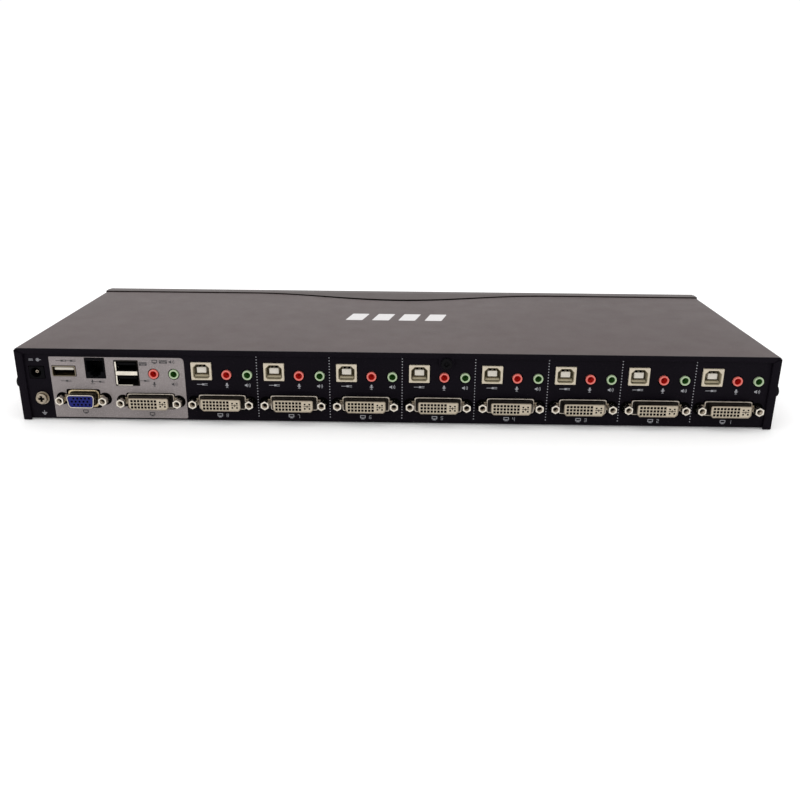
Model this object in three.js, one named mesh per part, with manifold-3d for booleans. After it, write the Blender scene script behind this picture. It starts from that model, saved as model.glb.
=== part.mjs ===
// Eight-port KVM switch in a low rack-width case, as an assembly of separate solids.
// Millimetres, +Z up. The front, with its push buttons, faces -Y, and the connector panel faces +Y.
// The origin is at the middle of the footprint, on the surface that the switch stands on.
import * as THREE from 'three';
import { mergeVertices } from 'three/addons/utils/BufferGeometryUtils.js';
import Module from 'manifold-3d';

const wasm = await Module();
wasm.setup();

// Case
const WIDTH = 437;
const COVER_HEIGHT = 43.85;
const BEZEL_HEIGHT = 44.45; // the bezel stands a little proud of the cover
const DEPTH = 159; // from the rear panel's outer face to the bezel's face
const SHEET = 1;
const GAP = 0.3; // between pieces that touch
const EDGE_RADIUS = 1.2;
const ARC_STEPS = 3; // straight steps in a quarter turn of a small radius
const ROUND_STEPS = 12; // straight steps round a small circle

// Cover
const COVER_DEPTH = 148.5; // from the rear panel to the seam with the bezel, away from the bulge
const COVER_BULGE = 19.5; // how far the bulge cuts into the cover
const BEZEL_BULGE = 18.2;
const BULGE_WIDTH = 216;
const BULGE_STEPS = 24;
const FRAME_REACH = SHEET + GAP; // the return flanges stand this far out of the rear panel
const SIDE_FLANGE = 4.8;
const TOP_FLANGE = 3.2;
const COVER_BOTTOM = 0.3;

// Chassis
const FLOOR = 1; // underside of the floor
const CHASSIS_WIDTH = WIDTH - 2 * (SHEET + 0.4);
const CHASSIS_TOP = COVER_HEIGHT - SHEET - 0.4;
const FRONT_WALL_TOP = 38;
const FRONT_WALL_SETBACK = 4; // from the seam to the front wall
const EAR_DEPTH = 12;
const LIP_HEIGHT = 6;
const PAD_RADIUS = 9;
const PAD_X = 185;
const PAD_Y = 55;

// Bezel
const BEZEL_WALL = 2;
const BEZEL_FACE = 2.5;
const SEAM_GAP = 1; // away from the bulge
const TONGUE_REACH = 4;

// Rear ports, as seen from behind: x to the viewer's right, z up
const PORT_COUNT = 8;
const PORT_PITCH = 41.85;
const FIRST_PORT_X = -100.6;
const DVI_Z = 12.4;
const USB_B_X = -11.1;
const USB_B_Z = 31.2;
const MIC_X = 3.25;
const SPEAKER_X = 15.25;
const JACK_Z = 29.1;
const PORT_REACH = 6;

// Console ports, as seen from behind
const CONSOLE_DVI = [-142.4, 12.5];
const CONSOLE_VGA = [-181.6, 13.6];
const HUB_USB = [-191.3, 30.3];
const UPGRADE = [-173.1, 32.3];
const USB_STACK = [-155, 29.5];
const CONSOLE_MIC = [-139.5, JACK_Z];
const CONSOLE_SPEAKER = [-127.8, JACK_Z];
const DC_JACK = [-207.2, 29.3];
const GROUND_SCREW = [-205.6, 13.9];
const COVER_SCREW = [29.2, 38];
const COVER_TAB_RADIUS = 4.4; // of the cover's tab under that screw

// Connector sizes
const DVI_RIM = [27.6, 9];
const DVI_SHELL = [23.2, 7.2];
const DVI_CHAMFER = 1.7;
const DVI_SCREW_X = 16.35;
const DVI_BODY = [40.4, 10.8];
const VGA_RIM = [19.2, 10.8];
const VGA_SHELL = [16.8, 7.8];
const VGA_SLANT = 1.1;
const VGA_SCREW_X = 12.495;
const VGA_BODY = [33.4, 12];
const BODY_DEPTH = 12;
const LOBE_RADIUS = 3.8; // of the panel's cut-out round a jackscrew
const PLATE_HEIGHT = 4; // of the plate behind the jackscrews
const NUT_ACROSS_FLATS = 4.7;
const NUT_REACH = 5.7;
const NUT_BORE = 1.5;
const NUT_BORE_DEPTH = 4;
const SHELL_FACE = 0.6; // how far an audio or USB socket's shell stands out of the panel
const USB_B_BLOCK = [11.8, 10.5];
const USB_B_MOUTH = [9.1, 8.2];
const USB_B_TONGUE = [5.4, 3.4];
const USB_A_SHELL = [13.5, 6.1];
const USB_A_MOUTH = [12.5, 5.1];
const USB_A_TONGUE = [11, 1.5];
const STACK_BLOCK = [13.6, 15];
const STACK_MOUTH = [12.9, 5.8];
const STACK_RISE = 4.15; // from the middle to each mouth's middle
const RJ11_BLOCK = [11.2, 12.1];
const DC_BLOCK = [8.7, 7.2];
const JACK_RING = 2.8;
const JACK_BORE = 1.75;
const HOLE_CLEARANCE = 0.5; // round a connector in the rear panel
const BUTTON_CLEARANCE = 0.3;

// Boards
const BOARD = 1.6;
const LOWER_BOARD_TOP = 6.5;
const UPPER_BOARD_TOP = 25.8;
const BOARD_GAP_Y = 2.6; // from the rear panel's outer face to the boards
const LOWER_BOARD_DEPTH = 100;
const UPPER_BOARD_DEPTH = 52;
const BOARD_WIDTH = 408;
const POST_RADIUS = 2.5;

// Front buttons, as seen from the front
const BUTTON_SIZE = [16, 7];
const BUTTON_PITCH = 27;
const BUTTON_Z = 18;
const FIRST_BUTTON_X = -60;
const BUTTON_REACH = 1.5;
const BUTTON_TRAVEL = 1;
const BUTTON_FLANGE = 1.2;
const MODE_X = -110;
const MODE_SIZE = [10, 7];
const RESET_X = -140;
const RESET_RADIUS = 1.6;
const BUTTON_BOARD_Y = 10.5; // from the bezel's face to the button board
const SWITCH_DEPTH = 3.5;
const SWITCH_TIP = 0.5;
const FLANGE_FRONT = BEZEL_FACE + GAP;
const STEM_BACK = BUTTON_BOARD_Y - SWITCH_DEPTH - SWITCH_TIP - BUTTON_TRAVEL - GAP;

// Screws
const SIDE_SCREW_Z = 22.5;
const SIDE_SCREW_Y = 5; // from the cover's rear edge
const SCREW_HOLE = 1.8;
const WASHER_RADIUS = 3.9;
const WASHER_HEIGHT = 0.9;

// Hooks on the bezel, which pass through the chassis's front wall
const HOOK_PLACES = [-190, -70, 70, 190];
const HOOK_Z = 8;
const HOOK_WIDTH = 8;

const PANEL_Y = (DEPTH + BUTTON_REACH - PORT_REACH) / 2;
const FACE_Y = PANEL_Y - DEPTH;
const SEAM_Y = PANEL_Y - COVER_DEPTH;
const WALL_Y = SEAM_Y + FRONT_WALL_SETBACK;
const BODY_BACK = -FRAME_REACH; // front of a connector's body, behind the panel

// Solids

function toSolid(geometry) {
  const bare = new THREE.BufferGeometry();
  bare.setAttribute('position', geometry.getAttribute('position'));
  bare.setIndex(geometry.getIndex());
  const merged = mergeVertices(bare, 1e-4);
  return new wasm.Manifold(new wasm.Mesh({
    numProp: 3,
    vertProperties: new Float32Array(merged.getAttribute('position').array),
    triVerts: new Uint32Array(merged.getIndex().array),
  }));
}

function toGeometry(solid) {
  const mesh = solid.getMesh();
  const geometry = new THREE.BufferGeometry();
  geometry.setAttribute('position', new THREE.BufferAttribute(mesh.vertProperties, 3));
  geometry.setIndex(new THREE.BufferAttribute(mesh.triVerts, 1));
  geometry.computeVertexNormals();
  return geometry;
}

const join = (...solids) => solids.reduce((whole, solid) => whole.add(solid));
const cut = (solid, ...tools) => tools.reduce((rest, tool) => rest.subtract(tool), solid);

function block([x0, x1], [y0, y1], [z0, z1]) {
  const geometry = new THREE.BoxGeometry(x1 - x0, y1 - y0, z1 - z0);
  geometry.translate((x0 + x1) / 2, (y0 + y1) / 2, (z0 + z1) / 2);
  return toSolid(geometry);
}

function extrude(shape, length, basis) {
  const geometry = new THREE.ExtrudeGeometry(shape, {
    depth: length,
    bevelEnabled: false,
    curveSegments: ARC_STEPS,
  });
  geometry.applyMatrix4(basis);
  return toSolid(geometry);
}

const X = new THREE.Vector3(1, 0, 0);
const Y = new THREE.Vector3(0, 1, 0);
const Z = new THREE.Vector3(0, 0, 1);

// A shape drawn as seen from behind, as a prism from y0 to y1
function seenFromBehind(shape, [y0, y1]) {
  const basis = new THREE.Matrix4().makeBasis(X.clone().negate(), Z, Y).setPosition(0, y0, 0);
  return extrude(shape, y1 - y0, basis);
}

// A shape drawn as seen from the front, as a prism from y0 to y1
function seenFromFront(shape, [y0, y1]) {
  const basis = new THREE.Matrix4().makeBasis(X, Z, Y.clone().negate()).setPosition(0, y1, 0);
  return extrude(shape, y1 - y0, basis);
}

// A shape drawn as seen from above, as a prism from z0 to z1
function seenFromAbove(shape, [z0, z1]) {
  return extrude(shape, z1 - z0, new THREE.Matrix4().makeTranslation(0, 0, z0));
}

// A shape drawn as seen from the right side (y to the right, z up), as a prism from x0 to x1
function seenFromSide(shape, [x0, x1]) {
  const basis = new THREE.Matrix4().makeBasis(Y, Z, X).setPosition(x0, 0, 0);
  return extrude(shape, x1 - x0, basis);
}

// Outlines

function roundedRectangle([cx, cy], [width, height], radius) {
  const shape = new THREE.Shape();
  const right = cx + width / 2 - radius;
  const left = cx - width / 2 + radius;
  const top = cy + height / 2 - radius;
  const bottom = cy - height / 2 + radius;
  shape.absarc(right, top, radius, 0, Math.PI / 2);
  shape.absarc(left, top, radius, Math.PI / 2, Math.PI);
  shape.absarc(left, bottom, radius, Math.PI, Math.PI * 1.5);
  shape.absarc(right, bottom, radius, Math.PI * 1.5, Math.PI * 2);
  return shape;
}

function regular([cx, cy], radius, sides, turn = 0) {
  const points = [];
  for (let i = 0; i < sides; i += 1) {
    const angle = turn + (i * 2 * Math.PI) / sides;
    points.push(new THREE.Vector2(cx + radius * Math.cos(angle), cy + radius * Math.sin(angle)));
  }
  return new THREE.Shape(points);
}

const circle = (centre, radius) => regular(centre, radius, ROUND_STEPS);
const rectangle = ([cx, cy], [width, height]) => chamfered([cx, cy], [width, height], 0, 0);

// A rectangle with its two top corners and its two bottom corners cut at 45 degrees
function chamfered([cx, cy], [width, height], top, bottom) {
  const [w, h] = [width / 2, height / 2];
  const corners = [
    [-w, h - top], [-w, -h + bottom], [-w + bottom, -h], [w - bottom, -h],
    [w, -h + bottom], [w, h - top], [w - top, h], [-w + top, h],
  ];
  const points = corners.map(([x, y]) => new THREE.Vector2(cx + x, cy + y));
  return new THREE.Shape(points.filter((p, i) => i === 0 || !p.equals(points[i - 1])));
}

// A D-sub outline: wider at the top by slant on each side
function tapered([cx, cy], [width, height], slant, corner) {
  const [w, h] = [width / 2, height / 2];
  const lean = (slant * corner) / height;
  const points = [
    [w, h - corner], [w - corner, h], [corner - w, h], [-w, h - corner],
    [lean - w + slant, corner - h], [slant - w + corner, -h],
    [w - slant - corner, -h], [w - slant - lean, corner - h],
  ];
  return new THREE.Shape(points.map(([x, y]) => new THREE.Vector2(cx + x, cy + y)));
}

const grown = ([width, height], by) => [width + 2 * by, height + 2 * by];

// An edge along the seam, from left to right: it bulges rearwards and is set off rearwards by offset
function seamPoints(offset, bulge) {
  const points = [];
  for (let i = 0; i <= BULGE_STEPS; i += 1) {
    const x = BULGE_WIDTH * (i / BULGE_STEPS - 0.5);
    const rise = (1 + Math.cos((2 * Math.PI * x) / BULGE_WIDTH)) / 2;
    points.push(new THREE.Vector2(x, SEAM_Y + bulge * rise + offset));
  }
  return points;
}

// Everything from such an edge forwards or rearwards to farY, as seen from above
function besideSeam(offset, bulge, farY) {
  const edge = WIDTH / 2 + 1;
  return new THREE.Shape([
    new THREE.Vector2(-edge, farY),
    new THREE.Vector2(-edge, SEAM_Y + offset),
    ...seamPoints(offset, bulge),
    new THREE.Vector2(edge, SEAM_Y + offset),
    new THREE.Vector2(edge, farY),
  ]);
}

// Case pieces

function makeCover() {
  const rear = PANEL_Y + FRAME_REACH;
  const span = [SEAM_Y, rear];
  const flange = [rear - SHEET, rear];
  const outside = roundedRectangle([0, COVER_HEIGHT / 2], [WIDTH, COVER_HEIGHT], EDGE_RADIUS);
  const inside = rectangle([0, COVER_HEIGHT / 2 - SHEET], [WIDTH - 2 * SHEET, COVER_HEIGHT]);
  const window = rectangle(
    [0, (COVER_HEIGHT - TOP_FLANGE) / 2 - 1],
    [WIDTH - 2 * SIDE_FLANGE, COVER_HEIGHT - TOP_FLANGE + 2],
  );
  const shell = cut(
    seenFromBehind(outside, span),
    seenFromBehind(inside, [SEAM_Y - 1, rear - SHEET]),
    seenFromBehind(window, [rear - SHEET - 1, rear + 1]),
    block([-WIDTH, WIDTH], [SEAM_Y - 1, rear + 1], [-1, COVER_BOTTOM]),
    seenFromAbove(besideSeam(0, COVER_BULGE, FACE_Y - 1), [-1, COVER_HEIGHT + 1]),
  );
  const [screwX, screwZ] = COVER_SCREW;
  const tab = join(
    seenFromBehind(circle(COVER_SCREW, COVER_TAB_RADIUS), flange),
    seenFromBehind(rectangle([screwX, screwZ + 2], [2 * COVER_TAB_RADIUS, 4]), flange),
  );
  const screwHole = seenFromBehind(circle(COVER_SCREW, SCREW_HOLE), [rear - 3, rear + 1]);
  return cut(join(shell, tab), screwHole, sideHoles());
}

// Holes for the side screws, through the cover and the chassis
function sideHoles() {
  const centre = [PANEL_Y - SIDE_SCREW_Y + FRAME_REACH, SIDE_SCREW_Z];
  return seenFromSide(circle(centre, SCREW_HOLE), [-WIDTH, WIDTH]);
}

function makeBezel() {
  const back = SEAM_Y - SEAM_GAP;
  const farY = back + BEZEL_BULGE + TONGUE_REACH + SEAM_GAP;
  const middle = [0, BEZEL_HEIGHT / 2];
  const outline = roundedRectangle(middle, [WIDTH, BEZEL_HEIGHT], EDGE_RADIUS);
  const inner = rectangle(middle, [WIDTH - 2 * BEZEL_WALL, BEZEL_HEIGHT - 2 * BEZEL_WALL]);
  const shell = cut(
    seenFromBehind(outline, [FACE_Y, farY]),
    seenFromBehind(inner, [FACE_Y + BEZEL_FACE, farY + 1]),
    seenFromAbove(besideSeam(-SEAM_GAP, BEZEL_BULGE, farY + 1), [-1, BEZEL_HEIGHT + 1]),
    block([-WIDTH, WIDTH], [back, farY + 1], [-1, BEZEL_HEIGHT - BEZEL_WALL]),
    block([-WIDTH, WIDTH], [FACE_Y - 1, farY], [-1, COVER_BOTTOM]),
  );
  const tongueTop = COVER_HEIGHT - SHEET - GAP;
  const tongueEnd = CHASSIS_WIDTH / 2 - 0.5;
  const tongueShape = besideSeam(TONGUE_REACH, BEZEL_BULGE, SEAM_Y - 6);
  const tongue = cut(
    seenFromAbove(tongueShape, [tongueTop - 1.3, tongueTop]),
    block([-WIDTH, -tongueEnd], [FACE_Y, farY + 1], [0, BEZEL_HEIGHT]),
    block([tongueEnd, WIDTH], [FACE_Y, farY + 1], [0, BEZEL_HEIGHT]),
  );
  const hooks = HOOK_PLACES.map((x) => {
    const xs = [x - HOOK_WIDTH / 2, x + HOOK_WIDTH / 2];
    const arm = block(xs, [FACE_Y + 1, WALL_Y + 5], [HOOK_Z - 1, HOOK_Z + 1]);
    return join(arm, block(xs, [WALL_Y + 3, WALL_Y + 5], [HOOK_Z - 1, HOOK_Z + 1.8]));
  });
  return cut(join(shell, tongue, ...hooks), ...buttonHoles());
}

function buttonPlaces() {
  const places = [];
  for (let i = 0; i < PORT_COUNT; i += 1) places.push(FIRST_BUTTON_X + i * BUTTON_PITCH);
  return places;
}

function buttonHoles() {
  const through = [FACE_Y - 1, FACE_Y + BEZEL_FACE + 1];
  const rect = (x, size) => roundedRectangle([x, BUTTON_Z], grown(size, BUTTON_CLEARANCE), 1.2);
  return [
    ...buttonPlaces().map((x) => seenFromFront(rect(x, BUTTON_SIZE), through)),
    seenFromFront(rect(MODE_X, MODE_SIZE), through),
    seenFromFront(circle([RESET_X, BUTTON_Z], RESET_RADIUS + BUTTON_CLEARANCE), through),
  ];
}

// Holes in the rear panel

function screwedHole([x, z], rim, screwX) {
  const through = [-SHEET - 1, 1];
  return join(
    seenFromBehind(roundedRectangle([x, z], grown(rim, HOLE_CLEARANCE), 1.5), through),
    seenFromBehind(circle([x - screwX, z], LOBE_RADIUS), through),
    seenFromBehind(circle([x + screwX, z], LOBE_RADIUS), through),
  );
}

function plainHole(centre, size) {
  return seenFromBehind(rectangle(centre, grown(size, HOLE_CLEARANCE)), [-SHEET - 1, 1]);
}

function roundHole(centre, radius) {
  return seenFromBehind(circle(centre, radius + HOLE_CLEARANCE), [-SHEET - 1, 1]);
}

function panelHoles() {
  const holes = [
    screwedHole(CONSOLE_DVI, DVI_RIM, DVI_SCREW_X),
    screwedHole(CONSOLE_VGA, VGA_RIM, VGA_SCREW_X),
    plainHole(HUB_USB, USB_A_SHELL),
    plainHole(UPGRADE, RJ11_BLOCK),
    plainHole(USB_STACK, STACK_BLOCK),
    plainHole(DC_JACK, DC_BLOCK),
    roundHole(CONSOLE_MIC, JACK_RING),
    roundHole(CONSOLE_SPEAKER, JACK_RING),
    roundHole(GROUND_SCREW, SCREW_HOLE),
    roundHole(COVER_SCREW, SCREW_HOLE - HOLE_CLEARANCE),
  ];
  for (const x of portPlaces()) {
    holes.push(
      screwedHole([x, DVI_Z], DVI_RIM, DVI_SCREW_X),
      plainHole([x + USB_B_X, USB_B_Z], USB_B_BLOCK),
      roundHole([x + MIC_X, JACK_Z], JACK_RING),
      roundHole([x + SPEAKER_X, JACK_Z], JACK_RING),
    );
  }
  return holes.map((hole) => hole.translate(0, PANEL_Y, 0));
}

function portPlaces() {
  const places = [];
  for (let i = 0; i < PORT_COUNT; i += 1) places.push(FIRST_PORT_X + i * PORT_PITCH);
  return places;
}

// Posts that carry the boards, as places seen from above
function postPlaces() {
  const rear = PANEL_Y - 18;
  return [-200, 0, 200].flatMap((x) => [[x, rear], [x, rear - 30]]);
}

function makeChassis() {
  const half = CHASSIS_WIDTH / 2;
  const rearWall = block([-half, half], [PANEL_Y - SHEET, PANEL_Y], [FLOOR, CHASSIS_TOP]);
  const floor = block([-half, half], [SEAM_Y, PANEL_Y], [FLOOR, FLOOR + SHEET]);
  const frontWall = block([-half, half], [WALL_Y, WALL_Y + SHEET], [FLOOR, FRONT_WALL_TOP]);
  const ears = [-1, 1].map((side) => {
    const xs = side < 0 ? [-half, SHEET - half] : [half - SHEET, half];
    const ear = block(xs, [PANEL_Y - EAR_DEPTH, PANEL_Y], [FLOOR, CHASSIS_TOP]);
    return join(ear, block(xs, [SEAM_Y, PANEL_Y], [FLOOR, FLOOR + LIP_HEIGHT]));
  });
  const pads = [-PAD_X, PAD_X].flatMap((x) => [-PAD_Y, PAD_Y].map(
    (y) => seenFromAbove(circle([x, y], PAD_RADIUS), [0, FLOOR + SHEET / 2]),
  ));
  const lowerUnder = LOWER_BOARD_TOP - BOARD - GAP;
  const upperUnder = UPPER_BOARD_TOP - BOARD - GAP;
  const posts = postPlaces().map((place) => join(
    seenFromAbove(circle(place, POST_RADIUS + 1.5), [FLOOR + SHEET / 2, lowerUnder]),
    seenFromAbove(circle(place, POST_RADIUS), [FLOOR + SHEET / 2, upperUnder]),
  ));
  const slotHalf = HOOK_WIDTH / 2 + 0.6;
  const slots = HOOK_PLACES.map((x) => block(
    [x - slotHalf, x + slotHalf],
    [WALL_Y - 1, WALL_Y + SHEET + 1],
    [HOOK_Z - 1.6, HOOK_Z + 2.4],
  ));
  const standoffs = [-190, -45, 80, 190].map((x) => seenFromFront(
    circle([x, 30], 2.5),
    [FACE_Y + BUTTON_BOARD_Y + BOARD + GAP, WALL_Y + SHEET / 2],
  ));
  const tray = join(rearWall, floor, frontWall, ...ears, ...pads, ...posts, ...standoffs);
  return cut(tray, sideHoles(), ...slots, ...panelHoles());
}

// Boards

// Low rectangular packages on a board: [x, y, width, depth, height] from the board's rear edge
function packages(places, boardTop) {
  return places.map(([x, y, width, depth, height]) => block(
    [x - width / 2, x + width / 2],
    [PANEL_Y - y - depth / 2, PANEL_Y - y + depth / 2],
    [boardTop - BOARD / 2, boardTop + height],
  ));
}

function makeVideoBoard() {
  const back = PANEL_Y - BOARD_GAP_Y;
  const span = [-BOARD_WIDTH / 2, BOARD_WIDTH / 2];
  const top = LOWER_BOARD_TOP;
  const board = block(span, [back - LOWER_BOARD_DEPTH, back], [top - BOARD, top]);
  const switches = portPlaces().map((x) => [-x, 34, 14, 14, 1.6]);
  const processors = [[-60, 72, 24, 24, 2.4], [40, 72, 24, 24, 2.4], [120, 74, 18, 18, 2]];
  const holes = postPlaces().map((place) => seenFromAbove(circle(place, POST_RADIUS + 0.4), [0, 20]));
  return cut(join(board, ...packages([...switches, ...processors], top)), ...holes);
}

function makeUsbAudioBoard() {
  const back = PANEL_Y - BOARD_GAP_Y;
  const span = [-BOARD_WIDTH / 2, BOARD_WIDTH / 2];
  const top = UPPER_BOARD_TOP;
  const board = block(span, [back - UPPER_BOARD_DEPTH, back], [top - BOARD, top]);
  const chips = portPlaces().map((x) => [-x, 32, 10, 10, 1.4]);
  const [stackX] = USB_STACK;
  const notchHalf = STACK_BLOCK[0] / 2 + 1;
  const notch = block(
    [-stackX - notchHalf, -stackX + notchHalf],
    [back - 17, back + 1],
    [top - 3, top + 3],
  );
  const [dcX] = DC_JACK;
  const corner = block([-dcX - 7, -dcX + 7], [back - 14, back + 1], [top - 3, top + 3]);
  return cut(join(board, ...packages(chips, top)), notch, corner);
}

function makeButtonBoard() {
  const front = FACE_Y + BUTTON_BOARD_Y;
  const board = block([-200, 200], [front, front + BOARD], [10.8, 34]);
  const switches = [...buttonPlaces(), MODE_X, RESET_X].map((x) => join(
    block([x - 3, x + 3], [front - SWITCH_DEPTH, front + BOARD / 2], [BUTTON_Z - 3, BUTTON_Z + 3]),
    seenFromFront(
      regular([x, BUTTON_Z], 1.6, 12),
      [front - SWITCH_DEPTH - SWITCH_TIP, front - SWITCH_DEPTH + 0.5],
    ),
  ));
  return join(board, ...switches);
}

// Connectors: each is built with the panel's outer face at y = 0 and its own centre at x = z = 0

function hexNut(x) {
  const radius = NUT_ACROSS_FLATS / Math.sqrt(3);
  return cut(
    seenFromBehind(regular([x, 0], radius, 6), [BODY_BACK - 1, NUT_REACH]),
    seenFromBehind(circle([x, 0], NUT_BORE), [NUT_REACH - NUT_BORE_DEPTH, NUT_REACH + 1]),
  );
}

// The ends of a connector's face plate, which the jackscrews hold
function facePlate(screwX) {
  const size = [2 * screwX + PLATE_HEIGHT / 2, PLATE_HEIGHT];
  return seenFromBehind(rectangle([0, 0], size), [BODY_BACK - 1, -SHEET / 2]);
}

function makeDvi() {
  const body = seenFromBehind(rectangle([0, 0], DVI_BODY), [BODY_BACK - BODY_DEPTH, BODY_BACK]);
  const rim = seenFromBehind(roundedRectangle([0, 0], DVI_RIM, 1.2), [BODY_BACK - 1, GAP]);
  const shell = seenFromBehind(chamfered([0, 0], DVI_SHELL, 0.6, DVI_CHAMFER), [BODY_BACK, PORT_REACH]);
  const nuts = [-DVI_SCREW_X, DVI_SCREW_X].map(hexNut);
  return join(body, rim, shell, facePlate(DVI_SCREW_X), ...nuts);
}

function makeVga() {
  const body = seenFromBehind(rectangle([0, 0], VGA_BODY), [BODY_BACK - BODY_DEPTH, BODY_BACK]);
  const rim = seenFromBehind(roundedRectangle([0, 0], VGA_RIM, 2), [BODY_BACK - 1, GAP]);
  const shell = seenFromBehind(tapered([0, 0], VGA_SHELL, VGA_SLANT, 1.8), [BODY_BACK, PORT_REACH]);
  const nuts = [-VGA_SCREW_X, VGA_SCREW_X].map(hexNut);
  return join(body, rim, shell, facePlate(VGA_SCREW_X), ...nuts);
}

function makeUsbB() {
  const housing = seenFromBehind(rectangle([0, 0], USB_B_BLOCK), [-15.4, SHELL_FACE]);
  const outline = chamfered([0, 0], USB_B_MOUTH, 2, 0.9);
  const mouth = seenFromBehind(outline, [-9, SHELL_FACE + 1]);
  const tongue = seenFromBehind(rectangle([0, 0.5], USB_B_TONGUE), [-9.5, -SHELL_FACE]);
  return join(cut(housing, mouth), tongue);
}

function makeJack() {
  const body = block([-4.6, 4.6], [BODY_BACK - BODY_DEPTH, BODY_BACK], [-3.1, 4]);
  const ring = seenFromBehind(circle([0, 0], JACK_RING), [BODY_BACK - 1, 0.8]);
  const bore = seenFromBehind(circle([0, 0], JACK_BORE), [-12, 2]);
  return cut(join(body, ring), bore);
}

// The mouth of a USB A socket and the tongue in its upper half
function usbMouth(z, size) {
  return seenFromBehind(rectangle([0, z], size), [-9.5, 2]);
}

function usbTongue(z) {
  return seenFromBehind(rectangle([0, z + 1.2], USB_A_TONGUE), [-10, -SHELL_FACE]);
}

function makeHubUsb() {
  const body = seenFromBehind(rectangle([0, 0], USB_A_SHELL), [-14, SHELL_FACE]);
  return join(cut(body, usbMouth(0, USB_A_MOUTH)), usbTongue(0));
}

function makeUsbStack() {
  const body = seenFromBehind(rectangle([0, 0], STACK_BLOCK), [-17, SHELL_FACE]);
  const mouths = [-STACK_RISE, STACK_RISE].map((z) => usbMouth(z, STACK_MOUTH));
  return join(cut(body, ...mouths), usbTongue(STACK_RISE), usbTongue(-STACK_RISE));
}

function makeUpgradePort() {
  return cut(
    seenFromBehind(rectangle([0, 0], RJ11_BLOCK), [-13, 0.5]),
    seenFromBehind(rectangle([0, 1], [9.7, 7]), [-11, 2]),
    seenFromBehind(rectangle([0, -3], [6, 3]), [-11, 2]),
    seenFromBehind(rectangle([0, -4.6], [3.2, 1.4]), [-11, 2]),
  );
}

function makeDcJack() {
  const offset = -0.5;
  const hollow = cut(
    seenFromBehind(rectangle([0, 0], DC_BLOCK), [-13, 0.3]),
    seenFromBehind(circle([offset, 0], 2.9), [-10, 2]),
  );
  return join(hollow, seenFromBehind(circle([offset, 0], 1), [-11, -1.5]));
}

// Screws, built with their head's seat at y = 0 and pointing out along +Y

// A cross recess, sunk from the top of a head
function crossRecess(top, depth, length, width) {
  return join(
    seenFromBehind(rectangle([0, 0], [length, width]), [top - depth, top + 1]),
    seenFromBehind(rectangle([0, 0], [width, length]), [top - depth, top + 1]),
  );
}

// A pan head as a turned profile, with its shank
function panHead(radius, height, shankRadius, shankLength) {
  const crown = radius * 0.72;
  const profile = [
    [0, -shankLength], [shankRadius, -shankLength], [shankRadius, 0], [radius, 0],
    [radius, height * 0.45], [(radius + crown) / 2 + 0.1, height * 0.85], [crown, height], [0, height],
  ];
  const points = profile.map(([r, y]) => new THREE.Vector2(r, y));
  return toSolid(new THREE.LatheGeometry(points, ROUND_STEPS));
}

function makeGroundScrew() {
  const washer = seenFromBehind(circle([0, 0], WASHER_RADIUS), [GAP, GAP + WASHER_HEIGHT]);
  const seat = GAP + WASHER_HEIGHT - 0.2;
  const head = 2.2;
  const screw = panHead(WASHER_RADIUS - 0.6, head, 1.9, 9).translate(0, seat, 0);
  return cut(join(washer, screw), crossRecess(seat + head, 1.3, 3.4, 0.9));
}

function makeCoverScrew() {
  const head = 1.8;
  const screw = panHead(3.2, head, 1.3, 7);
  return cut(screw, crossRecess(head, 1.1, 3, 0.8));
}

// Buttons, built with the bezel's face at y = 0

function makeButton(size) {
  return join(
    seenFromFront(roundedRectangle([0, 0], size, 1), [-BUTTON_REACH, FLANGE_FRONT + 0.5]),
    seenFromFront(rectangle([0, 0], grown(size, BUTTON_FLANGE)), [FLANGE_FRONT, FLANGE_FRONT + 1]),
    seenFromFront(rectangle([0, 0], [3, 3]), [FLANGE_FRONT, STEM_BACK]),
  );
}

function makeResetButton() {
  const sunk = 0.6;
  return join(
    seenFromFront(circle([0, 0], RESET_RADIUS), [sunk, STEM_BACK]),
    seenFromFront(circle([0, 0], RESET_RADIUS + 1.4), [FLANGE_FRONT, FLANGE_FRONT + 1]),
  );
}

// Materials

const paint = { roughness: 0.55, metalness: 0.2 };
const plastic = { roughness: 0.5, metalness: 0 };
const metal = { roughness: 0.3, metalness: 1 };
const MATERIALS = {
  paint: new THREE.MeshStandardMaterial({ color: 0x4a4443, ...paint }),
  chassis: new THREE.MeshStandardMaterial({ color: 0x16161a, ...paint }),
  bezel: new THREE.MeshStandardMaterial({ color: 0x4a4544, ...plastic }),
  board: new THREE.MeshStandardMaterial({ color: 0x1d4a2c, ...plastic }),
  dvi: new THREE.MeshStandardMaterial({ color: 0xd8cfb4, ...plastic }),
  vga: new THREE.MeshStandardMaterial({ color: 0x2a3f9e, ...plastic }),
  usbB: new THREE.MeshStandardMaterial({ color: 0xd9d3c4, ...plastic }),
  mic: new THREE.MeshStandardMaterial({ color: 0xd0564f, ...plastic }),
  speaker: new THREE.MeshStandardMaterial({ color: 0x9dbb96, ...plastic }),
  nickel: new THREE.MeshStandardMaterial({ color: 0xc9c5bc, ...metal }),
  black: new THREE.MeshStandardMaterial({ color: 0x101012, ...plastic }),
  blackScrew: new THREE.MeshStandardMaterial({ color: 0x1b1b1d, ...metal }),
  button: new THREE.MeshStandardMaterial({ color: 0x2b2b2e, ...plastic }),
};

// Assembly

const kvmSwitch = new THREE.Group();

function place(group, name, solid, material, position = [0, 0, 0]) {
  const geometry = solid.isBufferGeometry ? solid : toGeometry(solid);
  const mesh = new THREE.Mesh(geometry, MATERIALS[material]);
  mesh.name = name;
  mesh.position.set(...position);
  group.add(mesh);
  return mesh;
}

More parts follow.
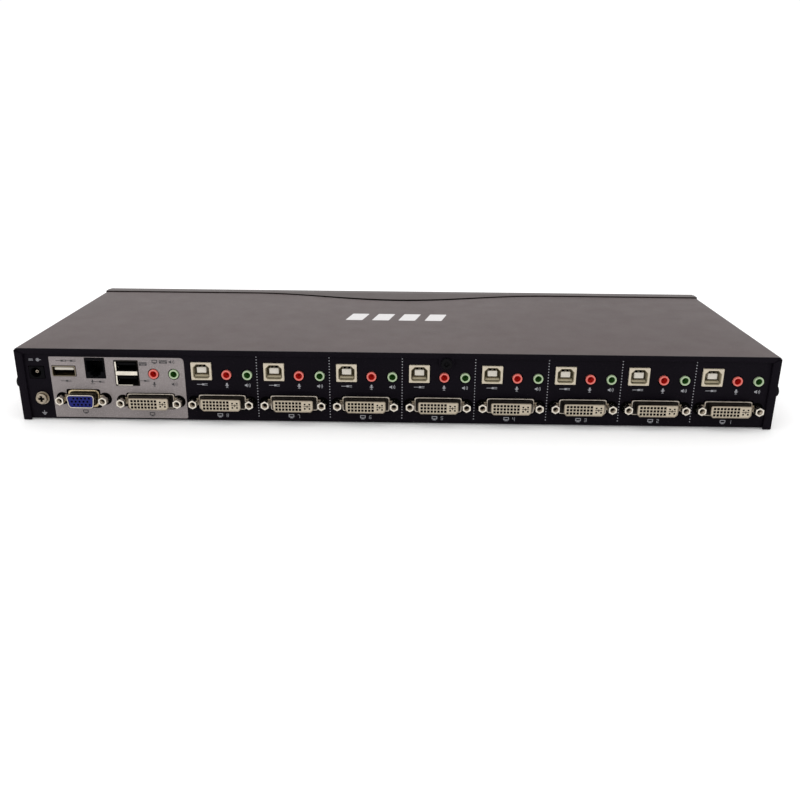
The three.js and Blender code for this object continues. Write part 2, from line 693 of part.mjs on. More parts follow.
place(kvmSwitch, 'base_chassis', makeChassis(), 'chassis');
place(kvmSwitch, 'top_cover', makeCover(), 'paint');
place(kvmSwitch, 'front_bezel', makeBezel(), 'bezel');
place(kvmSwitch, 'video_board', makeVideoBoard(), 'board');
place(kvmSwitch, 'usb_audio_board', makeUsbAudioBoard(), 'board');
place(kvmSwitch, 'button_board', makeButtonBoard(), 'board');

// The rear group's x runs to the right of someone who stands behind the switch
const rearGroup = new THREE.Group();
rearGroup.position.y = PANEL_Y;
kvmSwitch.add(rearGroup);
const behind = ([x, z], y = 0) => [-x, y, z];

const dvi = toGeometry(makeDvi());
const usbB = toGeometry(makeUsbB());
const jack = toGeometry(makeJack());
portPlaces().forEach((x, i) => {
  const number = PORT_COUNT - i;
  place(rearGroup, `dvi_port_${number}`, dvi, 'dvi', behind([x, DVI_Z]));
  place(rearGroup, `usb_b_port_${number}`, usbB, 'usbB', behind([x + USB_B_X, USB_B_Z]));
  place(rearGroup, `mic_jack_${number}`, jack, 'mic', behind([x + MIC_X, JACK_Z]));
  place(rearGroup, `speaker_jack_${number}`, jack, 'speaker', behind([x + SPEAKER_X, JACK_Z]));
});
place(rearGroup, 'console_dvi_port', dvi, 'dvi', behind(CONSOLE_DVI));
place(rearGroup, 'console_vga_port', makeVga(), 'vga', behind(CONSOLE_VGA));
place(rearGroup, 'console_usb_stack', makeUsbStack(), 'black', behind(USB_STACK));
place(rearGroup, 'hub_usb_port', makeHubUsb(), 'nickel', behind(HUB_USB));
place(rearGroup, 'upgrade_port', makeUpgradePort(), 'black', behind(UPGRADE));
place(rearGroup, 'console_mic_jack', jack, 'mic', behind(CONSOLE_MIC));
place(rearGroup, 'console_speaker_jack', jack, 'speaker', behind(CONSOLE_SPEAKER));
place(rearGroup, 'dc_power_jack', makeDcJack(), 'black', behind(DC_JACK));
place(rearGroup, 'ground_screw', makeGroundScrew(), 'nickel', behind(GROUND_SCREW));
const coverScrew = toGeometry(makeCoverScrew());
place(rearGroup, 'rear_cover_screw', coverScrew, 'blackScrew', behind(COVER_SCREW, FRAME_REACH + GAP));
for (const [name, side] of [['side_screw_left', -1], ['side_screw_right', 1]]) {
  const position = [side * (WIDTH / 2 + GAP), FRAME_REACH - SIDE_SCREW_Y, SIDE_SCREW_Z];
  const screw = place(rearGroup, name, coverScrew, 'blackScrew', position);
  screw.rotation.z = (-side * Math.PI) / 2;
}

const frontGroup = new THREE.Group();
frontGroup.position.set(0, FACE_Y, BUTTON_Z);
kvmSwitch.add(frontGroup);
const portButton = toGeometry(makeButton(BUTTON_SIZE));
buttonPlaces().forEach((x, i) => {
  place(frontGroup, `port_button_${i + 1}`, portButton, 'button', [x, 0, 0]);
});
place(frontGroup, 'mode_button', makeButton(MODE_SIZE), 'button', [MODE_X, 0, 0]);
place(frontGroup, 'reset_button', makeResetButton(), 'button', [RESET_X, 0, 0]);

export default kvmSwitch;
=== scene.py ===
"""The look of an eight-port KVM switch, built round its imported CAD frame."""

from math import atan2, cos, pi, radians, sin, sqrt, tan
import bpy
from mathutils import Matrix, Vector
from mathutils.geometry import tessellate_polygon


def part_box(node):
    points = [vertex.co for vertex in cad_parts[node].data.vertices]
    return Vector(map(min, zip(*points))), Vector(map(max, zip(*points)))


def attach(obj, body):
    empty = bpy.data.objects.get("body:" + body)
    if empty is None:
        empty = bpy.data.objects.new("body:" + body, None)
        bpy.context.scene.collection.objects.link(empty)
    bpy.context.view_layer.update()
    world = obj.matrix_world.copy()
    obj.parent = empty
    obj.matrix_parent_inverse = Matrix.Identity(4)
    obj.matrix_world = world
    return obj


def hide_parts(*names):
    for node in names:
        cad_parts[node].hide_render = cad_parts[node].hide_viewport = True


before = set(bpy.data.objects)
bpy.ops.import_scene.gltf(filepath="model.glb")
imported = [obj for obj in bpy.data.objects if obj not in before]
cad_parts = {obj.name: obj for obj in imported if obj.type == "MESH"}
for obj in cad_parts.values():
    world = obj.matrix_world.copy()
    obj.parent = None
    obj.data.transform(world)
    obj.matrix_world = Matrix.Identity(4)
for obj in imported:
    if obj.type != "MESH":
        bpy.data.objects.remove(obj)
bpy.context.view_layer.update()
scene = bpy.context.scene

# Local shapes are drawn in millimetres, as (u, v, w): u to the viewer's right, v up, w towards the viewer.
MM = 0.001
CASE = "case"
PORTS = range(1, 9)

# Sizes that the detail needs, in millimetres, as in the CAD
SHEET = 1.0
FRAME_REACH = 1.3  # from the rear panel to the outer face of the cover's flanges
SIDE_FLANGE = 4.8
TOP_FLANGE = 3.2
COVER_BULGE = 19.5
BEZEL_BULGE = 18.2
BULGE_WIDTH = 216.0
BULGE_STEPS = 48
SEAM_GAP = 1.0
BEZEL_WALL = 2.0
BEND_RADIUS = 1.6
FLOOR_Z = 1.0
CLEARANCE = 0.3
HOLE = 0.5  # round a connector in the rear panel
SNUG = 0.25  # round a socket in the rear panel
JACK_FLOOR = 3.1  # from a jack's axis down to its housing's underside
INK = 0.05  # thickness of printed marks, with a little lift so that they show

# Connectors: (width, height) of a port's rim and shell, and the distance from its centre to a jackscrew
DVI_RIM, DVI_SHELL, DVI_SCREW_U = (27.6, 9.0), (23.2, 7.2), 16.35
VGA_RIM, VGA_SHELL, VGA_SCREW_U = (18.8, 10.6), (16.3, 7.8), 12.495
LOBE = 3.8  # radius of the panel's cut-out round a jackscrew
PORT_REACH = 6.0
NUT_REACH = 5.7
JACK_RING, JACK_BORE = 2.8, 1.85
HOUSING_BACK = -13.3  # w of the far end of a port's or jack's housing


def numbered(*stems):
    """The names of the eight computers' copies of one or more ports."""
    return [f"{stem}_{i}" for i in PORTS for stem in stems]


DVI_PORTS = numbered("dvi_port") + ["console_dvi_port"]
VGA_PORT = "console_vga_port"
CONSOLE_SOCKETS = ["hub_usb_port", "upgrade_port", "console_usb_stack"]
CONSOLE_JACKS = ["console_mic_jack", "console_speaker_jack"]
BUTTONS = numbered("port_button") + ["mode_button"]


def limits(node):
    """A node's lowest and highest corners in millimetres."""
    low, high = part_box(node)
    return Vector(low) / MM, Vector(high) / MM


_, chassis_high = limits("base_chassis")
cover_low, cover_high = limits("top_cover")
bezel_low, bezel_high = limits("front_bezel")
PANEL_Y = chassis_high.y
CHASSIS_HALF = chassis_high.x
CHASSIS_TOP = chassis_high.z
SEAM_Y = cover_low.y
HALF_WIDTH = cover_high.x
HEIGHT = cover_high.z
FACE_Y = bezel_low.y
BEZEL_TOP = bezel_high.z


def centre_from_behind(node):
    """A node's centre as seen from behind: (u, v) in millimetres."""
    low, high = limits(node)
    return -(low.x + high.x) / 2, (low.z + high.z) / 2


def jack_from_behind(node):
    """A jack's axis as seen from behind: (u, v) in millimetres."""
    return centre_from_behind(node)[0], limits(node)[0].z + JACK_FLOOR


def front_centre(node):
    """A node's centre as seen from the front: (u, v) in millimetres."""
    low, high = limits(node)
    return (low.x + high.x) / 2, (low.z + high.z) / 2


# Places: matrices that carry local shapes into the frame, in millimetres


def placed(right, up, out, spot):
    """Turns u, v and w to three directions, and moves their origin to a spot."""
    return Matrix.Translation(spot) @ Matrix((right, up, out)).transposed().to_4x4()


def behind(u=0.0, v=0.0, w=0.0):
    """A spot on the rear panel's outer face, seen from behind."""
    return placed((-1, 0, 0), (0, 0, 1), (0, 1, 0), (-u, PANEL_Y + w, v))


def in_front(u=0.0, v=0.0, w=0.0):
    """A spot on the bezel's face, seen from the front."""
    return placed((1, 0, 0), (0, 0, 1), (0, -1, 0), (u, FACE_Y - w, v))


def from_above(x=0.0, y=0.0, z=0.0):
    """A spot seen from above, with the front at the bottom."""
    return Matrix.Translation((x, y, z))


def from_side(side, y, z, w=0.0):
    """A spot on the cover's left (-1) or right (1) side."""
    return placed((0, side, 0), (0, 0, 1), (side, 0, 0), (side * (HALF_WIDTH + w), y, z))


# Outlines: anticlockwise lists of (u, v)


def ring(u, v, radius, count=32, turn=0.0):
    steps = [turn + 2 * pi * i / count for i in range(count)]
    return [(u + radius * cos(a), v + radius * sin(a)) for a in steps]


def eased(points, radius, steps=4):
    """A polygon with its corners rounded. radius is one number, or one for each corner."""
    count = len(points)
    radii = radius if isinstance(radius, (list, tuple)) else [radius] * count
    result = []
    for i, (corner, r) in enumerate(zip(points, radii)):
        p = Vector(corner)
        before = (Vector(points[i - 1]) - p).normalized()
        after = (Vector(points[(i + 1) % count]) - p).normalized()
        reach = r / max(tan(before.angle(after) / 2), 1e-6)
        if reach < 1e-4:
            result.append(tuple(p))
            continue
        a, b = p + before * reach, p + after * reach
        for k in range(steps + 1):
            t = k / steps
            q = a * (1 - t) ** 2 + p * (2 * t * (1 - t)) + b * t**2
            result.append((q.x, q.y))
    return result


def box_outline(u, v, width, height, radius=0.0, steps=4):
    w, h = width / 2, height / 2
    corners = [(u - w, v - h), (u + w, v - h), (u + w, v + h), (u - w, v + h)]
    return eased(corners, radius, steps)


def centred(width, height, radius=0.0, steps=4):
    return box_outline(0, 0, width, height, radius, steps)


def chamfer_outline(width, height, top, bottom, radius=0.3):
    """A box with its two top and two bottom corners cut off."""
    w, h = width / 2, height / 2
    corners = [
        (-w + bottom, -h), (w - bottom, -h), (w, -h + bottom), (w, h - top),
        (w - top, h), (-w + top, h), (-w, h - top), (-w, -h + bottom),
    ]
    return eased(corners, radius, 2)


def d_outline(width, height, slant, radius):
    """A D-shaped shell: a box whose lower corners are drawn in."""
    w, h = width / 2, height / 2
    return eased([(-w + slant, -h), (w - slant, -h), (w, h), (-w, h)], radius, 5)


def cross_outline(length, height, width, u=0.0):
    a, b, c = length / 2, height / 2, width / 2
    right = [(a, -c), (a, c), (c, c), (c, b), (-c, b), (-c, c)]
    return [(u + x, y) for x, y in right + [(-x, -y) for x, y in right]]


def screwed_outline(u, v, rim, screw_u, lobe, steps=12):
    """A rounded box with a round lobe at each end, round a connector and its two screws."""
    w, h = rim[0] / 2 + HOLE, rim[1] / 2 + HOLE
    corner = 1.4
    meet = atan2(sqrt(lobe**2 - (screw_u - w) ** 2), w - screw_u)
    angles = [meet * (2 * i / steps - 1) for i in range(steps + 1)]
    bow = [(screw_u + lobe * cos(a), lobe * sin(a)) for a in angles]
    lower = eased([(0, -h), (w, -h), bow[0]], [0, corner, 0])[1:-1]
    upper = eased([bow[-1], (w, h), (0, h)], [0, corner, 0])[1:-1]
    half = lower + bow + upper
    return [(u + x, v + y) for x, y in half + [(-x, -y) for x, y in half]]


def shifted(loop, distance):
    """The loop moved to its left by a distance, so that an anticlockwise one shrinks."""
    if not distance:
        return loop
    result = []
    for i, corner in enumerate(loop):
        p = Vector(corner)
        a = (p - Vector(loop[i - 1])).normalized()
        b = (Vector(loop[(i + 1) % len(loop)]) - p).normalized()
        left = Vector((-a.y - b.y, a.x + b.x))
        q = p + left * distance / max(1 + a.dot(b), 0.3)
        result.append((q.x, q.y))
    return result


def filled(loops):
    """Triangles that fill the loops, all facing up, as indices into the loops' joined points."""
    flat = [p for loop in loops for p in loop]
    triangles = []
    for a, b, c in tessellate_polygon([[Vector((x, y, 0)) for x, y in loop] for loop in loops]):
        (ax, ay), (bx, by), (cx, cy) = flat[a], flat[b], flat[c]
        area = (bx - ax) * (cy - ay) - (by - ay) * (cx - ax)
        if abs(area) > 1e-9:
            triangles.append((a, b, c) if area > 0 else (a, c, b))
    return triangles


class Build:
    """Closed solids gathered into one mesh, in millimetres, with the name of a look for each face."""

    def __init__(self):
        self.verts, self.faces, self.looks = [], [], []

    def add(self, verts, *groups, move=None):
        """Adds points, and groups of faces over them: (faces, look)."""
        start = len(self.verts)
        self.verts += [move @ Vector(v) if move else Vector(v) for v in verts]
        for faces, look in groups:
            self.faces += [tuple(start + i for i in face) for face in faces]
            self.looks += [look] * len(faces)

    def slab(self, outline, low, high, look, holes=(), edge=0.0, back_edge=0.0, steps=2, move=None,
             inside=None):
        """A plate from w = low to high, with its front and back edges rounded.

        inside is the look of its holes' walls.
        """
        loops = [outline] + [hole[::-1] for hole in holes]
        sections = []
        for reach, sign, w in ((back_edge, -1, low), (edge, 1, high)):
            turns = [i / steps * pi / 2 for i in range(steps + 1)] if reach else [0.0]
            part = [(w + sign * reach * (sin(t) - 1), reach * (1 - cos(t))) for t in turns]
            sections += part[::sign]
        layers = [[shifted(loop, inset) for loop in loops] for _, inset in sections]
        verts = [(x, y, w) for (w, _), layer in zip(sections, layers) for loop in layer for x, y in loop]
        count = sum(len(loop) for loop in loops)
        top = (len(sections) - 1) * count
        walls, hole_walls = [], []
        for base in range(0, top, count):
            for loop in loops:
                n = len(loop)
                group = walls if loop is outline else hole_walls
                group += [(base + i, base + (i + 1) % n, base + count + (i + 1) % n, base + count + i)
                          for i in range(n)]
                base += n
        lid = [tuple(top + i for i in triangle) for triangle in filled(layers[-1])]
        underside = [triangle[::-1] for triangle in filled(layers[0])]
        self.add(verts, (walls + lid + underside, look), (hole_walls, look if inside is None else inside),
                 move=move)

    def block(self, us, vs, ws, look, edge=0.0, move=None):
        outline = box_outline(sum(us) / 2, sum(vs) / 2, us[1] - us[0], vs[1] - vs[0], edge, 2)
        self.slab(outline, ws[0], ws[1], look, edge=edge, move=move)

    def lathe(self, profile, look, u=0.0, v=0.0, count=32):
        """A closed (radius, w) profile turned round the w axis. A radius of 0 is on the axis."""
        verts, rows = [], []
        for radius, w in profile:
            rows.append((len(verts), 1 if radius == 0 else count))
            points = [(u, v)] if radius == 0 else ring(u, v, radius, count)
            verts += [(x, y, w) for x, y in points]
        faces = []
        for (a, na), (b, nb) in zip(rows, rows[1:] + ([rows[0]] if profile[0][0] else [])):
            for i in range(count if na > 1 or nb > 1 else 0):
                j = (i + 1) % count
                quad = [a + i % na, a + j % na, b + j % nb, b + i % nb]
                kept = [q for k, q in enumerate(quad) if q != quad[k - 1]]
                faces.append(tuple(kept))
        self.add(verts, (faces, look))

    def mesh(self, name, smooth=35):
        data = bpy.data.meshes.new(name)
        data.from_pydata([v * MM for v in self.verts], [], self.faces)
        used = list(dict.fromkeys(self.looks))
        for look in used:
            data.materials.append(LOOKS[look])
        for polygon, look in zip(data.polygons, self.looks):
            polygon.material_index = used.index(look)
        data.shade_smooth()
        data.set_sharp_from_angle(angle=radians(smooth))
        data.update()
        return data

    def piece(self, name, place, body=CASE, slot=None, replaces=(), smooth=35):
        """Makes the object and puts it in the frame."""
        put(name, self.mesh(name, smooth), place, body, replaces)


def put(name, data, place, body=CASE, replaces=()):
    """An object of a mesh in metres, at a place that is given in millimetres."""
    thing = bpy.data.objects.new(name, data)
    scene.collection.objects.link(thing)
    thing.matrix_world = Matrix.Scale(MM, 4) @ place @ Matrix.Scale(1 / MM, 4)
    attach(thing, body)
    if replaces:
        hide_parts(*replaces)


def put_copies(build, spots):
    """One mesh at several spots, each with its piece's name, place and replaced nodes."""
    data = build.mesh(spots[0][0])
    for name, place, replaced in spots:
        put(name, data, place, replaces=replaced)


# Materials


class Look:
    """A Principled material whose patterns come from its object's own coordinates."""

    def __init__(self, name, colour, roughness, metallic=0.0, **values):
        self.material = bpy.data.materials.new(name)
        self.material.use_nodes = True
        self.material.diffuse_color = (*colour, 1)
        self.nodes = self.material.node_tree.nodes
        self.shader = self.nodes["Principled BSDF"]
        self.colour, self.roughness = colour, roughness
        self.fill(self.shader, Base_Color=(*colour, 1), Roughness=roughness, Metallic=metallic, **values)
        self.coordinates = self.nodes.new("ShaderNodeTexCoord").outputs["Object"]

    def fill(self, node, **inputs):
        """Gives a node's inputs their values, or links them to other nodes' outputs."""
        for key, value in inputs.items():
            socket = node.inputs[key.replace("_", " ")]
            if isinstance(value, bpy.types.NodeSocket):
                self.material.node_tree.links.new(value, socket)
            else:
                socket.default_value = value

    def node(self, kind, **inputs):
        node = self.nodes.new("ShaderNode" + kind)
        self.fill(node, **inputs)
        return node

    def noise(self, size, detail=2.0, stretch=(1, 1, 1)):
        """A noise with features of about size millimetres."""
        place = self.node("Mapping", Vector=self.coordinates, Scale=stretch).outputs["Vector"]
        return self.node("TexNoise", Vector=place, Scale=1 / (size * MM), Detail=detail).outputs["Fac"]

    def mix(self, factor, low, high, start=0.3, end=0.7):
        """A colour that runs from low to high as factor goes from start to end."""
        node = self.node("ValToRGB", Fac=factor)
        for stop, position, colour in zip(node.color_ramp.elements, (start, end), (low, high)):
            stop.position = position
            stop.color = (*colour, 1)
        return node.outputs["Color"]

    def tint(self, size, amount, detail=3.0, stretch=(1, 1, 1)):
        """Varies the colour by plus or minus amount, over patches of a size."""
        low = tuple(c * (1 - amount) for c in self.colour)
        high = tuple(min(c * (1 + amount), 1) for c in self.colour)
        self.fill(self.shader, Base_Color=self.mix(self.noise(size, detail, stretch), low, high))

    def speckle(self, size, colour, share, softness):
        """Scatters grains of another colour over the tinted colour."""
        tinted = self.shader.inputs["Base Color"].links[0].from_socket
        mask = self.mix(self.noise(size, 1.0), (0, 0, 0), (1, 1, 1), 1 - share, 1 - share + softness)
        mixer = self.nodes.new("ShaderNodeMix")
        mixer.data_type = "RGBA"
        self.fill(mixer, Factor=mask, A=tinted, B=(*colour, 1))
        self.fill(self.shader, Base_Color=mixer.outputs["Result"])

    def gloss(self, size, spread, stretch=(1, 1, 1)):
        """Varies the roughness by plus or minus spread."""
        remap = self.node("MapRange", Value=self.noise(size, 3.0, stretch),
                          To_Min=self.roughness - spread, To_Max=self.roughness + spread)
        self.fill(self.shader, Roughness=remap.outputs["Result"])

    def bump(self, size, height, strength=0.5):
        """Raises grains of a size in millimetres by a height in millimetres."""
        node = self.node("Bump", Strength=strength, Distance=height * MM, Height=self.noise(size))
        links = self.shader.inputs["Normal"].links
        if links:
            self.fill(node, Normal=links[0].from_socket)
        self.fill(self.shader, Normal=node.outputs["Normal"])


def surface(name, colour, roughness, metallic, tint, gloss, *grains, speckle=None, **values):
    """A finish with patches in its colour and gloss, and grains in its relief.

    tint, gloss, each of the grains and speckle are the arguments of Look's methods.
    """
    look = Look(name, colour, roughness, metallic, **values)
    look.tint(*tint)
    if speckle:
        look.speckle(*speckle)
    look.gloss(*gloss)
    for grain in grains:
        look.bump(*grain)
    return look.material


def cover_paint():
    speckle = (0.35, (0.111, 0.079, 0.077), 0.42, 0.1)
    return surface("cover_paint", (0.064, 0.042, 0.0405), 0.42, 0.2, (40, 0.05), (12, 0.05),
                   (0.5, 0.02, 0.35), (2.2, 0.02, 0.12), speckle=speckle, Specular_IOR_Level=0.14)


def black_paint():
    speckle = (0.4, (0.009, 0.007, 0.011), 0.4, 0.1)
    return surface("black_paint", (0.0042, 0.0031, 0.0052), 0.46, 0.0, (30, 0.12), (10, 0.06),
                   (0.45, 0.02, 0.4), speckle=speckle, Specular_IOR_Level=0.03)


def silver_paint():
    speckle = (0.5, (0.322, 0.291, 0.289), 0.45, 0.12)
    return surface("silver_paint", (0.226, 0.199, 0.197), 0.45, 0.3, (14, 0.06), (6, 0.05),
                   (0.4, 0.012, 0.35), speckle=speckle, Specular_IOR_Level=0.3)


def bezel_plastic():
    speckle = (0.3, (0.105, 0.08, 0.077), 0.42, 0.12)
    return surface("bezel_plastic", (0.06, 0.044, 0.042), 0.44, 0.15, (35, 0.05), (9, 0.05),
                   (0.35, 0.012, 0.4), speckle=speckle, Specular_IOR_Level=0.22)


def fascia_plastic():
    return surface("fascia_plastic", (0.009, 0.009, 0.011), 0.16, 0.0, (25, 0.1), (18, 0.04),
                   (8, 0.01, 0.1), Coat_Weight=0.5, Coat_Roughness=0.05)


def plated(name, colour, roughness, tint, gloss, grain=(0.5, 0.01, 0.3), metallic=1.0, **values):
    """Plated metal, in a light copy and darker copies. Where the darker copies line threads, bores, shell
    sides and socket walls they are painted shade.
    """
    return surface(name, colour, roughness, metallic, tint, gloss, grain, **values)


def inside():
    """Painted shade: a near-black colour for the unlit depth of holes, sockets and housings, and for the
    seam under the cover.
    """
    return surface("inside", (0.0018, 0.0016, 0.0016), 0.7, 0.0, (2, 0.2), (2, 0.06), (0.5, 0.01, 0.2),
                   Specular_IOR_Level=0.02)


def moulded(name, colour, roughness=0.42, tint=0.05, specular=0.5):
    """An insulator or housing moulded in one colour, a little uneven."""
    return surface(name, colour, roughness, 0.0, (3, tint), (1.5, 0.06), (0.4, 0.008, 0.3),
                   Specular_IOR_Level=specular)


def black_plastic():
    return surface("black_plastic", (0.0025, 0.0023, 0.003), 0.42, 0.0, (3, 0.2), (2, 0.07),
                   (0.35, 0.01, 0.35), Specular_IOR_Level=0.03)


def black_steel():
    return surface("black_steel", (0.0022, 0.002, 0.0026), 0.4, 0.0, (1.2, 0.3), (0.8, 0.1),
                   (0.4, 0.012, 0.35), Specular_IOR_Level=0.06)


def bare_steel():
    """Steel with its rolling marks."""
    return surface("bare_steel", (0.42, 0.41, 0.4), 0.34, 1.0, (9, 0.12, 3.0, (1, 0.15, 1)),
                   (5, 0.08, (1, 0.1, 1)), (1, 0.008, 0.3))


def circuit_board():
    """Solder mask over tracks."""
    speckle = (2.2, (0.03, 0.15, 0.06), 0.4, 0.05)
    return surface("circuit_board", (0.012, 0.08, 0.03), 0.3, 0.0, (1.4, 0.35, 1.0, (1, 0.2, 1)),
                   (3, 0.06), (1.2, 0.03, 0.3), speckle=speckle, Coat_Weight=0.3)


def ink(name, colour):
    return surface(name, colour, 0.5, 0.0, (0.35, 0.1), (0.6, 0.08), (0.2, 0.006, 0.3))


def lens(name, colour):
    return surface(name, colour, 0.18, 0.0, (1.2, 0.15), (1, 0.05), (0.7, 0.02, 0.2),
                   Coat_Weight=0.4, Transmission_Weight=0.25)


LOOKS = {
    "cover": cover_paint(),
    "black_paint": black_paint(),
    "silver": silver_paint(),
    "bezel": bezel_plastic(),
    "fascia": fascia_plastic(),
    "nickel": plated("nickel", (0.66, 0.61, 0.53), 0.24, (2.5, 0.12), (1.2, 0.1), (0.6, 0.01, 0.25)),
    "dark_nickel": plated("dark_nickel", (0.33, 0.28, 0.22), 0.32, (2, 0.2), (1, 0.1)),
    "plate": plated("face_plate", (0.46, 0.41, 0.35), 0.3, (3, 0.2), (1.5, 0.1)),
    # Painted shade: a near-black copy of the shell metal, for shell sides, the gap round a DVI shell, the
    # USB stack's shell and a nut's bore floor.
    "shaded_shell": plated("shaded_shell", (0.014, 0.011, 0.009), 0.45, (2, 0.25), (1, 0.08), metallic=0.6,
                         Specular_IOR_Level=0.2),
    "gilt": plated("gilt_plate", (0.5, 0.4, 0.25), 0.28, (2, 0.15), (1, 0.08), (0.5, 0.01, 0.25)),
    # Painted shade: a darker copy of the shell metal for the walls of the hub socket's mouth.
    "hub_wall_shade": plated("hub_wall_shade", (0.13, 0.105, 0.06), 0.4, (2, 0.2), (1, 0.08)),
    "inside": inside(),
    "gold": surface("gold_contact", (0.78, 0.5, 0.17), 0.25, 1.0, (0.8, 0.1), (0.8, 0.06)),
    "cream": moulded("cream_insulator", (0.45, 0.388, 0.295), specular=0.3),
    "ivory": moulded("ivory_housing", (0.53, 0.465, 0.36), 0.38, specular=0.35),
    # Painted shade: darker copies of the ivory housing, for the walls, ledge and back of a USB B mouth.
    "ivory_shade": moulded("ivory_wall_shade", (0.3, 0.26, 0.175), 0.6, specular=0.2),
    "deep_ivory_shade": moulded("ivory_deep_shade", (0.12, 0.1, 0.055), 0.7, specular=0.1),
    "tongue": moulded("contact_tongue", (0.55, 0.515, 0.45), 0.4),
    "blue": moulded("blue_insulator", (0.006, 0.01, 0.12), 0.45, 0.1, specular=0.15),
    "pink": moulded("pink_collar", (0.66, 0.15, 0.125), 0.35, 0.07, specular=0.3),
    # Painted shade: darker copies of the collars' colours, for the jacks' bores.
    "pink_bore_shade": moulded("pink_bore_shade", (0.42, 0.006, 0.003), 0.6, 0.2, specular=0.05),
    "green": moulded("green_collar", (0.36, 0.46, 0.29), 0.35, 0.07, specular=0.3),
    "green_bore_shade": moulded("green_bore_shade", (0.012, 0.07, 0.006), 0.6, 0.2, specular=0.05),
    "black": black_plastic(),
    "black_steel": black_steel(),
    "steel": bare_steel(),
    "board": circuit_board(),
    "white_ink": ink("white_ink", (0.28, 0.28, 0.3)),
    "front_ink": ink("front_ink", (0.6, 0.6, 0.62)),
    "grey_ink": ink("grey_ink", (0.7, 0.68, 0.68)),
    "dark_ink": ink("dark_ink", (0.02, 0.018, 0.02)),
    "button": moulded("button_cap", (0.035, 0.035, 0.038), 0.35, 0.1),
    "green_lens": lens("green_lens", (0.12, 0.5, 0.2)),
    "amber_lens": lens("amber_lens", (0.7, 0.32, 0.06)),
}


# Camera, lights and floor


def add_camera():
    """The photo's viewpoint: behind the switch and a little above it, aimed a little down."""
    pitch, yaw, roll = 0.347, 0.0153, 0.008
    spot = Vector((-9.7, PANEL_Y + 448.3, 177.3)) * MM
    data = bpy.data.cameras.new("camera")
    data.sensor_width = 36
    data.lens = 36.97
    data.clip_start = 0.01
    camera = bpy.data.objects.new("camera", data)
    heading = Matrix.Rotation(pi + yaw, 4, "Z")
    tilt = Matrix.Rotation(pi / 2 - pitch, 4, "X") @ Matrix.Rotation(roll, 4, "Z")
    camera.matrix_world = Matrix.Translation(spot) @ heading @ tilt
    scene.collection.objects.link(camera)
    scene.camera = camera


def add_light(name, place, target, size, watts):
    data = bpy.data.lights.new(name, "AREA")
    data.shape = "RECTANGLE"
    data.size, data.size_y = size
    data.energy = watts
    light = bpy.data.objects.new(name, data)
    light.location = place
    light.rotation_euler = (Vector(target) - Vector(place)).to_track_quat("-Z", "Y").to_euler()
    scene.collection.objects.link(light)


def add_studio():
    """A pale floor, an even pale surround and three large soft lights."""
    floor_look = Look("floor", (0.96, 0.96, 0.96), 0.8, Specular_IOR_Level=0.1,
                      Emission_Color=(1, 1, 1, 1), Emission_Strength=0.15)
    floor_look.tint(900, 0.01)
    bpy.ops.mesh.primitive_plane_add(size=60)
    floor = bpy.context.object
    floor.name = "floor"
    floor.data.materials.append(floor_look.material)
    world = bpy.data.worlds.new("surround")
    world.use_nodes = True
    background = world.node_tree.nodes["Background"]
    background.inputs["Color"].default_value = (1, 1, 1, 1)
    background.inputs["Strength"].default_value = 1.03
    scene.world = world
    scene.view_settings.view_transform = "Standard"
    add_light("over", (0, 0.1, 1.3), (0, 0, 0), (1.6, 1.0), 1.2)
    add_light("left_key", (0.9, 1.1, 0.8), (0, 0.05, 0.02), (0.5, 0.5), 1.6)
    add_light("front_fill", (0.3, -1.4, 0.9), (0, -0.05, 0.02), (1.2, 0.8), 1.0)


# Case


def bulge(x, depth):
    """How far an edge along the seam between cover and bezel runs rearwards at x."""
    if abs(x) > BULGE_WIDTH / 2:
        return 0.0
    return depth * (1 + cos(2 * pi * x / BULGE_WIDTH)) / 2


def cover_profile(inset, steps=6):
    """The cover's section from its left foot over the top to its right foot: (x, z)."""
    half, top, radius = HALF_WIDTH - inset, HEIGHT - inset, BEND_RADIUS - inset
    left = [(-half, cover_low.z), (-half, 10), (-half, 25)]
    turns = [i / steps * pi / 2 for i in range(steps + 1)]
    left += [(-half + radius * (1 - cos(t)), top - radius * (1 - sin(t))) for t in turns]
    left += [(-half + 20, top), (-half + 60, top), (-BULGE_WIDTH / 2, top)]
    middle = [(BULGE_WIDTH * (i / BULGE_STEPS - 0.5), top) for i in range(1, BULGE_STEPS)]
    return left + middle + [(-x, z) for x, z in reversed(left)]


def make_cover():
    """The folded sheet: top, two sides and the mitred return flanges round the rear panel."""
    build = Build()
    rear = PANEL_Y + FRAME_REACH - SHEET
    outer, inner = cover_profile(0), cover_profile(SHEET)
    n = len(outer)
    verts = []
    for profile in (outer, inner):
        verts += [(x, SEAM_Y + bulge(x, COVER_BULGE), z) for x, z in profile]
        verts += [(x, rear, z) for x, z in profile]
    faces = []
    for i in range(n - 1):
        faces += [
            (n + i, n + i + 1, i + 1, i),
            (2 * n + i, 2 * n + i + 1, 3 * n + i + 1, 3 * n + i),
            (i, i + 1, 2 * n + i + 1, 2 * n + i),
            (3 * n + i, 3 * n + i + 1, n + i + 1, n + i),
        ]
    for i in (0, n - 1):
        face = (i, n + i, 3 * n + i, 2 * n + i)
        faces.append(face if i else face[::-1])
    build.add(verts, (faces, "cover"))
    add_flanges(build)
    build.piece("cover_shell", from_above(), slot="grey_paint",
                replaces=("top_cover",), smooth=50)


